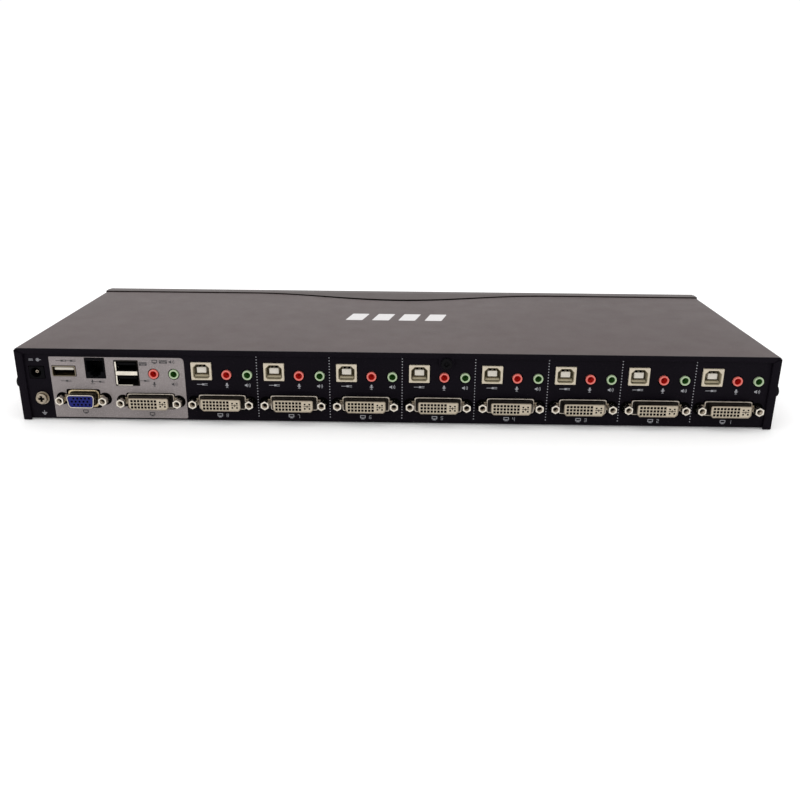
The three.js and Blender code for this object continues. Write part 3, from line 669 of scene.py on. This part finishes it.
def add_flanges(build):
    """Two side flanges and a top flange with mitred ends, and the tab under the cover screw."""
    half, top, foot = HALF_WIDTH, HEIGHT, cover_low.z
    mitre, corner, tab = 0.12, 0.5, 4.4
    inner_top = top - TOP_FLANGE
    back = FRAME_REACH - SHEET
    for side in (-1, 1):
        u0, u1 = side * half, side * (half - SIDE_FLANGE)
        corners = [(u0, foot), (u1, foot), (u1, inner_top - mitre), (u0, top - BEND_RADIUS * 0.4)]
        radii = [0.8, 0.3, 0.1, corner]
        if side > 0:
            corners.reverse()
            radii.reverse()
        build.slab(eased(corners, radii, 3), back, FRAME_REACH, "black_paint", edge=0.25, move=behind())
    u, v = centre_from_behind("rear_cover_screw")
    inner_end, outer_end = half - SIDE_FLANGE, half - 3 * mitre
    corners = [
        (-inner_end, inner_top), (u - tab, inner_top), (u - tab, v - tab), (u + tab, v - tab),
        (u + tab, inner_top), (inner_end, inner_top), (outer_end, top), (-outer_end, top),
    ]
    outline = eased(corners, [0.1, corner, tab * 0.98, tab * 0.98, corner, 0.1, 0.4, 0.4], 8)
    build.slab(outline, back, FRAME_REACH, "black_paint", [ring(u, v, 1.8)], edge=0.25,
               move=behind())


def port_hole(node, more=0.0):
    """The cut-out round a DVI or VGA port and its jackscrews."""
    rim, screw_u = (VGA_RIM, VGA_SCREW_U) if node == VGA_PORT else (DVI_RIM, DVI_SCREW_U)
    return screwed_outline(*centre_from_behind(node), rim, screw_u, LOBE + more)


def socket_hole(node, more=0.0):
    """The cut-out round a socket's rectangular housing."""
    low, high = limits(node)
    size = [side + 2 * SNUG + more for side in (high.x - low.x, high.z - low.z)]
    return box_outline(*centre_from_behind(node), *size, 0.4, 2)


def jack_hole(node, more=0.0):
    return ring(*jack_from_behind(node), JACK_RING + HOLE + more)


def panel_holes():
    ports = [port_hole(node) for node in DVI_PORTS + [VGA_PORT]]
    sockets = numbered("usb_b_port") + CONSOLE_SOCKETS + ["dc_power_jack"]
    jacks = numbered("mic_jack", "speaker_jack") + CONSOLE_JACKS
    return ports + [socket_hole(node) for node in sockets] + [jack_hole(node) for node in jacks]


def make_chassis():
    """The folded base: rear panel with its cut-outs, floor, ears, lips, front wall and rest pads."""
    build = Build()
    half, paint = CHASSIS_HALF, "black_paint"
    pad_x, pad_y = 185, 55
    ear, lip_top, wall_top = 12, 7, 38
    floor_top = FLOOR_Z + SHEET
    panel = box_outline(0, (FLOOR_Z + CHASSIS_TOP) / 2, 2 * half, CHASSIS_TOP - FLOOR_Z, 0.6, 3)
    screws = [ring(*centre_from_behind(node), radius)
              for node, radius in (("ground_screw", 2.2), ("rear_cover_screw", 1.5))]
    build.slab(panel, -SHEET, 0, paint, panel_holes() + screws, edge=0.18, move=behind())
    middle_y = (PANEL_Y - SHEET + SEAM_Y) / 2
    floor = box_outline(0, middle_y, 2 * half, PANEL_Y - SEAM_Y - SHEET, 0.5, 2)
    build.slab(floor, FLOOR_Z, floor_top, paint, back_edge=0.3)
    pad = [(0, 0), (8.2, 0), (8.8, 0.15), (9, 0.5), (9, 1.05), (0, 1.05)]
    for x in (-pad_x, pad_x):
        for y in (-pad_y, pad_y):
            build.lathe(pad, paint, x, y, 40)
    for side in (-1, 1):
        xs = sorted((side * half, side * (half - SHEET)))
        build.block(xs, (SEAM_Y, PANEL_Y - ear), (floor_top, lip_top), paint)
        build.block(xs, (PANEL_Y - ear, PANEL_Y - SHEET), (floor_top, CHASSIS_TOP), paint)
    wall_y = SEAM_Y + 4
    build.block((-half, half), (wall_y, wall_y + SHEET), (floor_top, wall_top), paint)
    press_nut = [(0, 0.7), (2.4, 0.7), (2.8, 0.85), (2.8, 1.05), (0, 1.05)]
    for x in (-200, 0, 200):
        for setback in (18, 48):
            build.lathe(press_nut, "steel", x, PANEL_Y - setback, 24)
    build.piece("chassis_shell", from_above(), slot="black_paint",
                replaces=("base_chassis",))


def bezel_walls(build):
    """The rim behind the bezel's face: sides, underside, and the top that bulges into the cover.

    A near-black tongue under the cover and a near-black band along the rear edge are painted shade, which
    keeps the seam dark.
    """
    half, top, foot = HALF_WIDTH, BEZEL_TOP, bezel_low.z
    face_back = FACE_Y + 2.4
    back = SEAM_Y - SEAM_GAP
    arch = [(x, back + bulge(x, BEZEL_BULGE))
            for x in (BULGE_WIDTH * (i / BULGE_STEPS - 0.5) for i in range(BULGE_STEPS + 1))]
    roof = [(-half, face_back), (half, face_back), (half, back)] + arch[::-1] + [(-half, back)]
    build.slab(roof, top - BEZEL_WALL, top, "bezel", edge=0.25, steps=3)
    # Painted shade: the tongue and the band below are near-black, to darken the seam between cover and
    # bezel.
    end, tuck = half - 3, back + 0.2
    tongue = [(-end, back - 3), (end, back - 3), (end, tuck)]
    tongue += [(x, y + 4.6) for x, y in arch[::-1]] + [(-end, tuck)]
    build.slab(tongue, HEIGHT - 2.6, HEIGHT - 1.3, "inside")
    shade_band_zs = (HEIGHT - 1.5, top - 0.1)
    lead, lag = 0.3, 0.06
    shade_band = [(x, y - lead) for x, y in arch] + [(x, y + lag) for x, y in reversed(arch)]
    build.slab(shade_band, *shade_band_zs, "inside")
    for side in (-1, 1):
        xs = sorted((side * BULGE_WIDTH / 2, side * (half - 0.4)))
        build.block(xs, (back - lead, back + lag), shade_band_zs, "inside")
        xs = sorted((side * half, side * (half - BEZEL_WALL)))
        build.block(xs, (face_back, back), (foot, top - BEZEL_WALL), "bezel")
    inner = half - BEZEL_WALL
    build.block((-inner, inner), (face_back, back), (foot, foot + 1.7), "bezel")


CAP_FLANGE = 1.2  # round a button cap, behind the bezel's face
CAP_GAP = 0.3


def cap_size(node):
    """A button cap's width and height, without its flange."""
    low, high = limits(node)
    return high.x - low.x - 2 * CAP_FLANGE, high.z - low.z - 2 * CAP_FLANGE


def make_bezel():
    """The bezel with its button holes, and the glossy strip round the buttons."""
    build = Build()
    foot = bezel_low.z
    face = box_outline(0, (BEZEL_TOP + foot) / 2, 2 * HALF_WIDTH, BEZEL_TOP - foot, 1.6, 6)
    holes = []
    for node in BUTTONS:
        size = [side + 2 * CAP_GAP for side in cap_size(node)]
        holes.append(box_outline(*front_centre(node), *size, 1.3, 4))
    holes.append(ring(*front_centre("reset_button"), 1.9))
    build.slab(face, -2.5, 0, "bezel", holes, edge=0.7, steps=4, move=in_front())
    bezel_walls(build)
    build.piece("bezel_shell", from_above(), slot="bezel_plastic",
                replaces=("front_bezel",), smooth=40)
    strip = Build()
    u0, u1 = front_centre("reset_button")[0] - 14, front_centre("port_button_8")[0] + 20
    outline = box_outline((u0 + u1) / 2, 20, u1 - u0, 27, 3, 6)
    strip.slab(outline, 0.02, 0.4, "fascia", holes, edge=0.15)
    strip.piece("fascia_strip", in_front(), slot="bezel_plastic")


# Connectors


def add_shell(build, outline, wall, lip, lip_look):
    """A connector's shell round its insulator: sides in a near-black copy of the metal, as painted shade,
    and a rolled edge in a lighter plating.
    """
    hollow = shifted(outline, wall)
    build.slab(outline, -1.2, PORT_REACH - lip + 0.01, "shaded_shell", [hollow])
    build.slab(outline, PORT_REACH - lip, PORT_REACH, lip_look, [hollow], edge=0.14, steps=3)


def add_port_frame(build, housing, rim, front, look, shell, screw_u):
    """Housing, rim round the shell, and the bracket that joins the two jackscrews."""
    # Painted shade: the housing behind the panel is near-black.
    build.slab(centred(*housing, 0.3, 2), HOUSING_BACK, -1.3, "inside", edge=0.2)
    build.slab(rim, -1.25, front, look, [shifted(shell, -0.15)], edge=0.4, steps=5)
    build.slab(centred(2 * screw_u + 2, 4, 0.6, 3), -2.3, -0.5, "dark_nickel", edge=0.2)


def dvi_mesh():
    """Housing, face plate, shell and insulator, with 24 square pin holes and the cross-shaped blade slot."""
    build = Build()
    shell = chamfer_outline(*DVI_SHELL, 0.6, 1.5, 0.6)
    rim = centred(*DVI_RIM, 1.6, 6)
    add_port_frame(build, (40.4, 10.8), rim, 0.3, "plate", shell, DVI_SCREW_U)
    skirt = centred(DVI_RIM[0] - 1.2, DVI_RIM[1] - 1.1, 1.2, 5)
    # Painted shade: a near-black skirt in the gap round the shell.
    build.slab(skirt, 0.25, 0.34, "shaded_shell", [shifted(shell, -0.05)])
    add_shell(build, shell, 0.32, 0.35, "dark_nickel")
    core = shifted(shell, 0.4)
    pitch, pin, blade_pin, blade_u = 1.94, 1.28, 0.85, 8.2
    holes = [box_outline(-9.5 + pitch * column, pitch * row, pin, pin)
             for column in range(8) for row in (-1, 0, 1)]
    holes += [box_outline(blade_u + du, dv, blade_pin, blade_pin)
              for du in (-1.35, 1.35) for dv in (-1.3, 1.3)]
    holes.append(cross_outline(4.0, 1.6, 0.26, blade_u))
    # Painted shade: the insulator's holes and the block behind it are near-black.
    build.slab(core, 3.6, PORT_REACH - 0.1, "cream", holes, edge=0.08, inside="inside")
    build.slab(core, -1.1, 3.5, "inside")
    return build


def vga_mesh():
    """Housing, rim, D-shaped shell and insulator, with 15 pin holes in three rows."""
    build = Build()
    rim = d_outline(*VGA_RIM, 0.9, 3)
    shell = d_outline(*VGA_SHELL, 1.1, 2.2)
    add_port_frame(build, (33.4, 12), rim, 0.35, "gilt", shell, VGA_SCREW_U)
    add_shell(build, shell, 0.42, 0.5, "nickel")
    pitch = 2.25
    holes = []
    for row, lean in ((1.9, 0.0), (0, -1.14), (-1.9, 0.0)):
        holes += [ring(pitch * (column - 2) + lean + 0.57, row, 0.55, 14) for column in range(5)]
    core = shifted(shell, 0.5)
    # Painted shade: the insulator's holes and the block behind it are near-black.
    build.slab(core, 3.0, PORT_REACH - 0.25, "blue", holes, edge=0.1, inside="inside")
    build.slab(core, -1.1, 2.9, "inside")
    return build


def nut_mesh():
    """A hexagonal jackscrew with a threaded hole, standing on a round shoulder."""
    build = Build()
    across_flats, bore, depth, pitch = 4.7, 1.5, 3.8, 0.5
    bottom, crest = NUT_REACH - depth, bore - 0.01
    hexagon = eased(ring(0, 0, across_flats / sqrt(3), 6, pi / 6), 0.35, 3)
    hole = ring(0, 0, bore, 24)
    build.slab(hexagon, 0.9, NUT_REACH, "nickel", [hole], edge=0.35, back_edge=0.2, steps=4)
    # Painted shade: the thread is a darker copy of the nickel, and the bore's floor near-black.
    thread = [(crest, bottom)]
    for i in range(6):
        start = bottom + 0.15 + pitch * i
        thread += [(crest, start), (bore - 0.22, start + 0.2), (crest, start + 0.4)]
    thread += [(crest, NUT_REACH - 0.35), (bore + 0.1, NUT_REACH - 0.4), (bore + 0.1, bottom)]
    build.lathe(thread, "dark_nickel", count=24)
    build.lathe([(0, 1.5), (bore, 1.5), (bore, bottom), (0, bottom)], "shaded_shell", count=24)
    build.lathe([(0, -1.2), (2.2, -1.2), (2.2, 1.0), (0, 1.0)], "nickel", count=24)
    return build


def usb_b_mesh():
    """The housing with its mouth, the contact tongue in it and the ledge under the tongue."""
    build = Build()
    mouth = chamfer_outline(9.1, 8.2, 2.0, 0.9)
    outline = centred(11.8, 10.5, 0.35, 3)
    # Painted shade: the mouth's walls, back wall and ledge are darker copies of the ivory, and the contact
    # slots near-black.
    build.slab(outline, -8.0, 0.6, "ivory", [mouth], edge=0.25, steps=3, inside="ivory_shade")
    build.slab(outline, -15.4, -8.05, "ivory")
    build.slab(shifted(mouth, 0.05), -5.2, -4.8, "deep_ivory_shade")
    tongue = box_outline(0, 0.5, 5.4, 3.4, 0.3, 2)
    build.slab(tongue, -5.0, -0.65, "tongue", edge=0.25, steps=3)
    for u in (-1.25, 1.25):
        build.block((u - 0.5, u + 0.5), (2.15, 2.5), (-4.9, -1.2), "inside", 0.04)
        build.block((u - 0.42, u + 0.42), (-1.35, -1.15), (-4.9, -1.3), "gold", 0.04)
    build.slab(box_outline(0, -2.95, 8.2, 1.2, 0.15, 2), -5.0, -0.6, "ivory_shade", edge=0.15)
    return build


def jack_mesh(look, bore_shade):
    """A coloured collar with a lead-in to its bore, on a black housing."""
    build = Build()
    r, b = JACK_RING, JACK_BORE
    collar = [(b, -6), (r, -6), (r, 0.45), (r - 0.08, 0.68), (r - 0.25, 0.8), (b + 0.3, 0.8),
              (b + 0.1, 0.7), (b, 0.5)]
    build.lathe(collar, look, count=40)
    # Painted shade: the bore's floor and liner are a darker copy of the collar's colour.
    floor = [(0, -3.6), (b + 0.1, -3.6), (b + 0.1, -1.6), (b - 0.04, -1.6), (0.75, -2.1), (0.75, -3),
             (0, -3)]
    build.lathe(floor, bore_shade, count=32)
    liner = [(b + 0.02, -5.9), (b + 0.02, 0.2), (b - 0.03, 0.1), (b - 0.03, -5.9)]
    build.lathe(liner, bore_shade, count=32)
    housing = box_outline(0, 0.45, 9.2, 7.1, 0.3, 2)
    build.slab(housing, HOUSING_BACK, -1.35, "black", [ring(0, 0, r + 0.05, 32)], edge=0.15)
    return build


def usb_socket(build, v, tongue_look, contact_look):
    """The tongue in the upper half of a USB A mouth, with four contacts under it."""
    tongue = box_outline(0, v + 1.2, 11, 1.5, 0.15, 2)
    build.slab(tongue, -9.3, -0.65, tongue_look, edge=0.15, steps=3)
    for i in range(4):
        u = -3.5 + i * 7 / 3
        build.block((u - 0.5, u + 0.5), (v + 0.36, v + 0.46), (-8.5, -1.6), contact_look, 0.02)


def hub_mesh():
    """A single USB A socket in its metal shell."""
    build = Build()
    outline, mouth = centred(13.5, 6.1, 0.8, 4), centred(12.7, 5.3, 0.5, 4)
    # Painted shade: the mouth's walls are a darker copy of the shell metal, and the back is near-black.
    build.slab(outline, -14, 0.6, "dark_nickel", [mouth], edge=0.18, steps=3, inside="hub_wall_shade")
    build.slab(centred(12.6, 5.2, 0.4, 3), -13.9, -9.3, "inside")
    usb_socket(build, 0.0, "tongue", "gold")
    return build


def stack_mesh():
    """Two USB A sockets in one shell, with bright springs at the left and between the mouths."""
    build = Build()
    rise = 4.15
    outer = centred(13.6, 15, 0.8, 4)
    mouths = [box_outline(0, v, 12.9, 5.8, 0.6, 4) for v in (-rise, rise)]
    # Painted shade: the shell is a near-black copy of its metal, and the mouths' walls near-black.
    build.slab(outer, -9.5, 0.6, "shaded_shell", mouths, edge=0.16, steps=3, inside="inside")
    build.slab(outer, -17, -9.55, "black")
    build.block((-6.3, 6.3), (-1.2, 1.2), (-1.5, 0.65), "nickel", 0.12)
    for v in (-rise, rise):
        build.block((-6.5, -5.6), (v - 2.75, v + 2.75), (-4.0, 0.5), "nickel", 0.08)
        usb_socket(build, v, "black", "dark_nickel")
    build.block((-5.4, 3.0), (-7.35, -6.95), (-1.0, 0.64), "nickel", 0.05)
    return build


def upgrade_mesh():
    """The RJ-11 socket: a stepped mouth and six wires."""
    build = Build()
    mouth = [(-4.85, -2.2), (-3, -2.2), (-3, -4.2), (-1.6, -4.2), (-1.6, -5.2), (1.6, -5.2), (1.6, -4.2),
             (3, -4.2), (3, -2.2), (4.85, -2.2), (4.85, 4.5), (-4.85, 4.5)]
    outline = centred(11.2, 12.1, 0.5, 3)
    build.slab(outline, -11, 0.5, "black", [mouth], edge=0.25, steps=3)
    build.slab(outline, -13, -11.05, "black")
    for i in range(6):
        u = (i - 2.5) * 1.02
        tilt = Matrix.Translation((u, 3.9, -2.5)) @ Matrix.Rotation(radians(-24), 4, "X")
        build.slab(centred(0.25, 0.25, 0.06, 1), -7, 0, "dark_nickel", move=tilt)
    return build


def power_mesh():
    """A square block with a round mouth and a hollow pin in it."""
    build = Build()
    outline = centred(8.7, 7.2, 0.6, 3)
    centre = -0.5
    build.slab(outline, -10, 0.3, "black", [ring(centre, 0, 2.9, 32)], edge=0.25, steps=3)
    build.slab(outline, -13, -10.05, "black")
    pin = [(0, -10), (1.0, -10), (1.0, -1.8), (0.85, -1.5), (0.5, -1.5), (0.5, -3), (0, -3)]
    build.lathe(pin, "dark_nickel", centre, 0, 20)
    return build


def screw_mesh(radius, height, recess, look, recess_look, washer=0.0):
    """A cross-head pan screw, with a washer under it if washer is its radius."""
    build = Build()
    base = 0.0
    if washer:
        base, bore, bevel = 0.9, 1.9, 0.15
        profile = [(bore, 0), (washer - bevel, 0), (washer, bevel), (washer, base - bevel),
                   (washer - bevel, base), (bore, base)]
        build.lathe(profile, look, count=40)
    floor = base + height - 1.1
    build.slab(ring(0, 0, radius, 36), base + 0.02, floor, look)
    across, slot = 2 * recess, 0.95
    cross = cross_outline(across, across, slot)
    head = ring(0, 0, radius, 36)
    build.slab(head, floor, base + height, look, [cross], edge=height * 0.38, steps=5)
    dark = cross_outline(across + 0.02, across + 0.02, slot + 0.02)
    build.slab(dark, floor - 0.2, floor + 0.05, recess_look)
    build.lathe([(0, -6), (1.3, -6), (1.3, 0.02), (0, 0.02)], look, count=20)
    return build


def put_ports(build, nodes, centre=centre_from_behind):
    spots = [(f"{node}_detail", behind(*centre(node)), (node,)) for node in nodes]
    put_copies(build, spots)


def make_connectors():
    """Each kind of port has one mesh, which every port of that kind uses."""
    put_ports(dvi_mesh(), DVI_PORTS)
    put_ports(vga_mesh(), [VGA_PORT])
    put_ports(usb_b_mesh(), numbered("usb_b_port"))
    put_ports(jack_mesh("pink", "pink_bore_shade"), numbered("mic_jack") + CONSOLE_JACKS[:1],
              jack_from_behind)
    put_ports(jack_mesh("green", "green_bore_shade"),
              numbered("speaker_jack") + CONSOLE_JACKS[1:], jack_from_behind)
    put_ports(hub_mesh(), ["hub_usb_port"])
    put_ports(stack_mesh(), ["console_usb_stack"])
    put_ports(upgrade_mesh(), ["upgrade_port"])
    put_ports(power_mesh(), ["dc_power_jack"])
    spots = []
    for node in DVI_PORTS + [VGA_PORT]:
        u, v = centre_from_behind(node)
        reach = VGA_SCREW_U if node == VGA_PORT else DVI_SCREW_U
        for side, label in ((-1, "left"), (1, "right")):
            spots.append((f"{node}_jackscrew_{label}", behind(u + side * reach, v), ()))
    put_copies(nut_mesh(), spots)


def make_screws():
    """The ground screw with its washer, and the three black screws that hold the cover."""
    u, v = centre_from_behind("ground_screw")
    spots = [("ground_screw_detail", behind(u, v, CLEARANCE), ("ground_screw",))]
    # The ground screw's cross recess has a near-black floor, as painted shade.
    put_copies(screw_mesh(3.3, 2.2, 1.65, "dark_nickel", "inside", 3.9), spots)
    u, v = centre_from_behind("rear_cover_screw")
    places = {"rear_cover_screw": behind(u, v, FRAME_REACH + CLEARANCE)}
    for node, side in (("side_screw_left", -1), ("side_screw_right", 1)):
        low, high = limits(node)
        places[node] = from_side(side, (low.y + high.y) / 2, (low.z + high.z) / 2, CLEARANCE)
    spots = [(f"{node}_detail", place, (node,)) for node, place in places.items()]
    put_copies(screw_mesh(3.2, 1.8, 1.5, "black_steel", "black_steel"), spots)


# Printed marks


class Marks(Build):
    """Flat shapes printed on a face, all in one look."""

    def __init__(self, look):
        super().__init__()
        self.look = look

    def fill(self, outline, holes=()):
        self.slab(outline, 0.01, INK, self.look, holes)

    def bar(self, u, v, width, height, radius=0.0):
        self.fill(box_outline(u, v, width, height, radius, 3))

    def dot(self, u, v, radius):
        self.fill(ring(u, v, radius, 20))

    def loop(self, u, v, radius, width):
        self.fill(ring(u, v, radius, 28), [ring(u, v, radius - width, 28)])

    def arc(self, u, v, radius, width, start, end, steps=8):
        angles = [radians(start + (end - start) * i / steps) for i in range(steps + 1)]
        outer = [(u + radius * cos(a), v + radius * sin(a)) for a in angles]
        inner = [(u + (radius - width) * cos(a), v + (radius - width) * sin(a)) for a in angles]
        self.fill(outer + inner[::-1])

    def microphone(self, u, v):
        self.bar(u, v + 0.55, 1.0, 1.9, 0.48)
        self.arc(u, v + 0.35, 1.05, 0.25, 180, 360)
        self.bar(u, v - 1.0, 0.25, 0.6)
        self.bar(u, v - 1.35, 1.3, 0.25)

    def speaker(self, u, v):
        self.fill([(u - 1.6, v - 0.45), (u - 0.95, v - 0.45), (u - 0.1, v - 1.15), (u - 0.1, v + 1.15),
                   (u - 0.95, v + 0.45), (u - 1.6, v + 0.45)])
        self.arc(u - 0.1, v, 1.0, 0.27, -45, 45)
        self.arc(u - 0.1, v, 1.75, 0.27, -45, 45)

    def plug(self, u, v):
        """A cable plug: two prongs, a body and a lead."""
        self.bar(u + 0.5, v, 1.4, 1.1, 0.3)
        self.bar(u + 2.1, v + 0.4, 1.9, 0.26)
        self.bar(u + 2.1, v - 0.4, 1.9, 0.26)
        self.bar(u - 1.6, v, 3.0, 0.3)

    def monitor(self, u, v):
        outline = box_outline(u, v + 0.25, 3.2, 1.9, 0.25, 2)
        self.fill(outline, [box_outline(u, v + 0.25, 2.3, 1.0, 0.1, 2)])
        self.bar(u, v - 0.85, 0.6, 0.32)
        self.bar(u, v - 1.1, 1.8, 0.34)

    def arrow(self, u, v):
        """An arrow into a tray, for the upgrade socket."""
        self.fill([(u - 1.0, v + 0.2), (u, v - 0.9), (u + 1.0, v + 0.2), (u + 0.35, v + 0.2),
                   (u + 0.35, v + 1.3), (u - 0.35, v + 1.3), (u - 0.35, v + 0.2)])
        self.bar(u, v - 1.3, 2.6, 0.28)

    def keyboard(self, u, v):
        outline = box_outline(u, v, 4.6, 2.0, 0.25, 2)
        keys = [box_outline(u + 0.62 * (column - 3), v + 0.5 * row, 0.36, 0.3)
                for column in range(7) for row in (0, 1)]
        self.fill(outline, keys + [box_outline(u, v - 0.52, 2.6, 0.3)])

    def ground(self, u, v):
        self.bar(u, v + 0.95, 0.3, 1.3)
        for i, width in enumerate((3.0, 2.0, 1.0)):
            self.bar(u, v + 0.2 - 0.6 * i, width, 0.3)

    def direct_current(self, u, v):
        """Solid line over a broken one, and the polarity of the plug."""
        self.bar(u - 2.4, v + 0.35, 2.4, 0.3)
        for i in range(3):
            self.bar(u - 3.3 + 0.9 * i, v - 0.35, 0.6, 0.3)
        self.loop(u + 1.6, v, 0.95, 0.28)
        self.dot(u + 1.6, v, 0.4)
        self.bar(u + 3.1, v, 1.0, 0.26)

    def digit(self, number, u, v, height):
        """A seven-segment numeral with plain square strokes."""
        h, w, t = height / 2, height * 0.28, height * 0.15
        segments = {"a": (0, h, 2 * w, t), "d": (0, -h, 2 * w, t), "g": (0, 0, 2 * w, t),
                    "b": (w, h / 2, t, h), "c": (w, -h / 2, t, h),
                    "e": (-w, -h / 2, t, h), "f": (-w, h / 2, t, h)}
        shown = ("", "bc", "abged", "abgcd", "fgbc", "afgcd", "afgedc", "abc", "abcdefg")[number]
        for key in shown:
            x, y, width, tall = segments[key]
            long_way = (width + t, tall) if width > tall else (width, tall + t)
            self.bar(u + x, v + y, *long_way)


PORT_LABEL = 8.2  # from a port's centre down to its label
PLUG_LABEL = 8.0
MIC_LABEL = 6.3
SPEAKER_LABEL = 6.1


def make_rear_marks():
    """Numerals, pictograms and dotted dividers for the eight computers, and the power and ground marks."""
    marks = Marks("white_ink")
    dots, pitch, start = 22, 1.72, 4.0
    for i in PORTS:
        u, v = centre_from_behind(f"dvi_port_{i}")
        marks.monitor(u - 1.9, v - PORT_LABEL)
        marks.digit(i, u + 2.4, v - PORT_LABEL, 1.9)
        usb_u, usb_v = centre_from_behind(f"usb_b_port_{i}")
        marks.plug(usb_u, usb_v - PLUG_LABEL)
        mic_u, jack_v = jack_from_behind(f"mic_jack_{i}")
        marks.microphone(mic_u, jack_v - MIC_LABEL)
        marks.speaker(jack_from_behind(f"speaker_jack_{i}")[0], jack_v - SPEAKER_LABEL)
        if i > 1:
            for k in range(dots):
                marks.bar(u + 20.9, start + pitch * k, 0.6, 0.55, 0.2)
    u, v = centre_from_behind("dc_power_jack")
    marks.direct_current(u - 0.2, v + 7.6)
    u, v = centre_from_behind("ground_screw")
    marks.ground(u - 0.5, v - 9.6)
    marks.piece("rear_marks", behind(), slot="white_print")


def make_console_field():
    """The silver field round the console ports, with its dark marks."""
    field = Build()
    left, right, low, high = -199.4, -121.5, 1.9, 38.9
    lift, more = 0.06, 0.02
    corners = [(left, low), (right, low), (right, high), (left, high)]
    outline = eased(corners, [0.4, 1.2, 2.6, 0.6], 5)
    ports = ("console_dvi_port", VGA_PORT)
    holes = [port_hole(node, more) for node in ports]
    holes += [socket_hole(node, more) for node in CONSOLE_SOCKETS]
    holes += [jack_hole(node, more) for node in CONSOLE_JACKS]
    field.slab(outline, 0.005, lift, "silver", holes, edge=0.02, steps=1)
    field.piece("console_field", behind(), slot="silver_paint")
    marks = Marks("dark_ink")
    u, v = centre_from_behind("hub_usb_port")
    for du, dv in ((-1, 6.2), (4.4, 6.2), (0.5, -6.0)):
        marks.plug(u + du, v + dv)
    u, v = centre_from_behind("upgrade_port")
    marks.arrow(u - 2.4, v - 8.3)
    marks.plug(u + 1.6, v - 8.3)
    u, v = centre_from_behind("console_usb_stack")
    marks.keyboard(u + 9.8, v + 5.6)
    marks.plug(u + 9.8, v - 4.6)
    u, v = jack_from_behind("console_mic_jack")
    marks.microphone(u, v - MIC_LABEL)
    marks.speaker(jack_from_behind("console_speaker_jack")[0], v - SPEAKER_LABEL)
    for i, shape in enumerate((marks.monitor, marks.keyboard, marks.speaker)):
        shape(u + 1.2 + 4.9 * i, v + 7.4)
    for node in ports:
        u, v = centre_from_behind(node)
        marks.monitor(u, v - PORT_LABEL)
    marks.piece("console_marks", behind(0, 0, lift), slot="black_plastic")


def make_emblem():
    """Four slanted blocks in a row on the cover."""
    marks = Marks("grey_ink")
    width, tall, pitch, slant = 11.0, 17.0, 17.2, 4.0
    for i in range(4):
        left = (i - 1.5) * pitch - width / 2
        right = left + width
        corners = [(left - slant / 2, -tall / 2), (right - slant / 2, -tall / 2),
                   (right + slant / 2, tall / 2), (left + slant / 2, tall / 2)]
        marks.fill(eased(corners, 0.8, 4))
    place = from_above(1, PANEL_Y - 81.5, HEIGHT)
    marks.piece("cover_emblem", place, slot="white_print")


# Front


def make_buttons():
    """Nine dished caps with flanges and stems, and the round pin of the reset button."""
    for node in BUTTONS:
        width, height = cap_size(node)
        build = Build()
        build.slab(centred(width, height, 1.1, 5), -3.0, 1.5, "button", edge=0.55, steps=4)
        build.slab(centred(width - 2.4, height - 2.4, 0.8, 4), 1.45, 1.56, "fascia", edge=0.05)
        flange = [side + 2 * CAP_FLANGE for side in (width, height)]
        build.slab(centred(*flange, 0.4, 2), -3.8, -2.8, "button")
        build.block((-1.5, 1.5), (-1.5, 1.5), (-4.9, -3.7), "button")
        build.piece(f"{node}_cap", in_front(*front_centre(node)), body=node,
                    slot="button_plastic", replaces=(node,))
    build = Build()
    profile = [(0, -5.2), (1.6, -5.2), (1.6, -3.8), (3.0, -3.8), (3.0, -2.8), (1.6, -2.8), (1.6, -0.9),
               (1.3, -0.6), (0, -0.5)]
    build.lathe(profile, "button", count=28)
    place = in_front(*front_centre("reset_button"))
    build.piece("reset_button_pin", place, body="reset_button", slot="button_plastic",
                replaces=("reset_button",))


def make_front_marks():
    """A numeral, a green light and an amber light over each port's button, and two pictograms."""
    mark_rise, light_rise = 12.2, 7.4
    marks = Marks("front_ink")
    lights = Build()

    def light(u, v, look):
        outline = box_outline(u, v + light_rise, 3.6, 1.6, 0.5, 4)
        lights.slab(outline, 0.1, 0.7, look, edge=0.3, steps=3)

    for i in PORTS:
        u, v = front_centre(f"port_button_{i}")
        marks.digit(i, u, v + mark_rise, 2.8)
        light(u - 3.2, v, "green_lens")
        light(u + 3.2, v, "amber_lens")
    u, v = front_centre("mode_button")
    marks.monitor(u, v + mark_rise)
    light(u, v, "green_lens")
    u, v = front_centre("reset_button")
    marks.arc(u, v + mark_rise, 1.6, 0.4, 60, 360, 14)
    marks.fill([(u + 1.4, v + 11.2), (u + 2.2, v + 12.4), (u + 0.6, v + 12.4)])
    marks.piece("front_marks", in_front(0, 0, 0.4), slot="white_print")
    lights.piece("status_lights", in_front(), slot="white_print")


def dress_boards():
    """The CAD boards keep their shape and take a patterned solder mask."""
    for node in ("video_board", "usb_audio_board", "button_board"):
        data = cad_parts[node].data
        data.materials.clear()
        data.materials.append(LOOKS["board"])


add_camera()
add_studio()
make_cover()
make_chassis()
make_bezel()
make_connectors()
make_screws()
make_console_field()
make_rear_marks()
make_emblem()
make_buttons()
make_front_marks()
dress_boards()
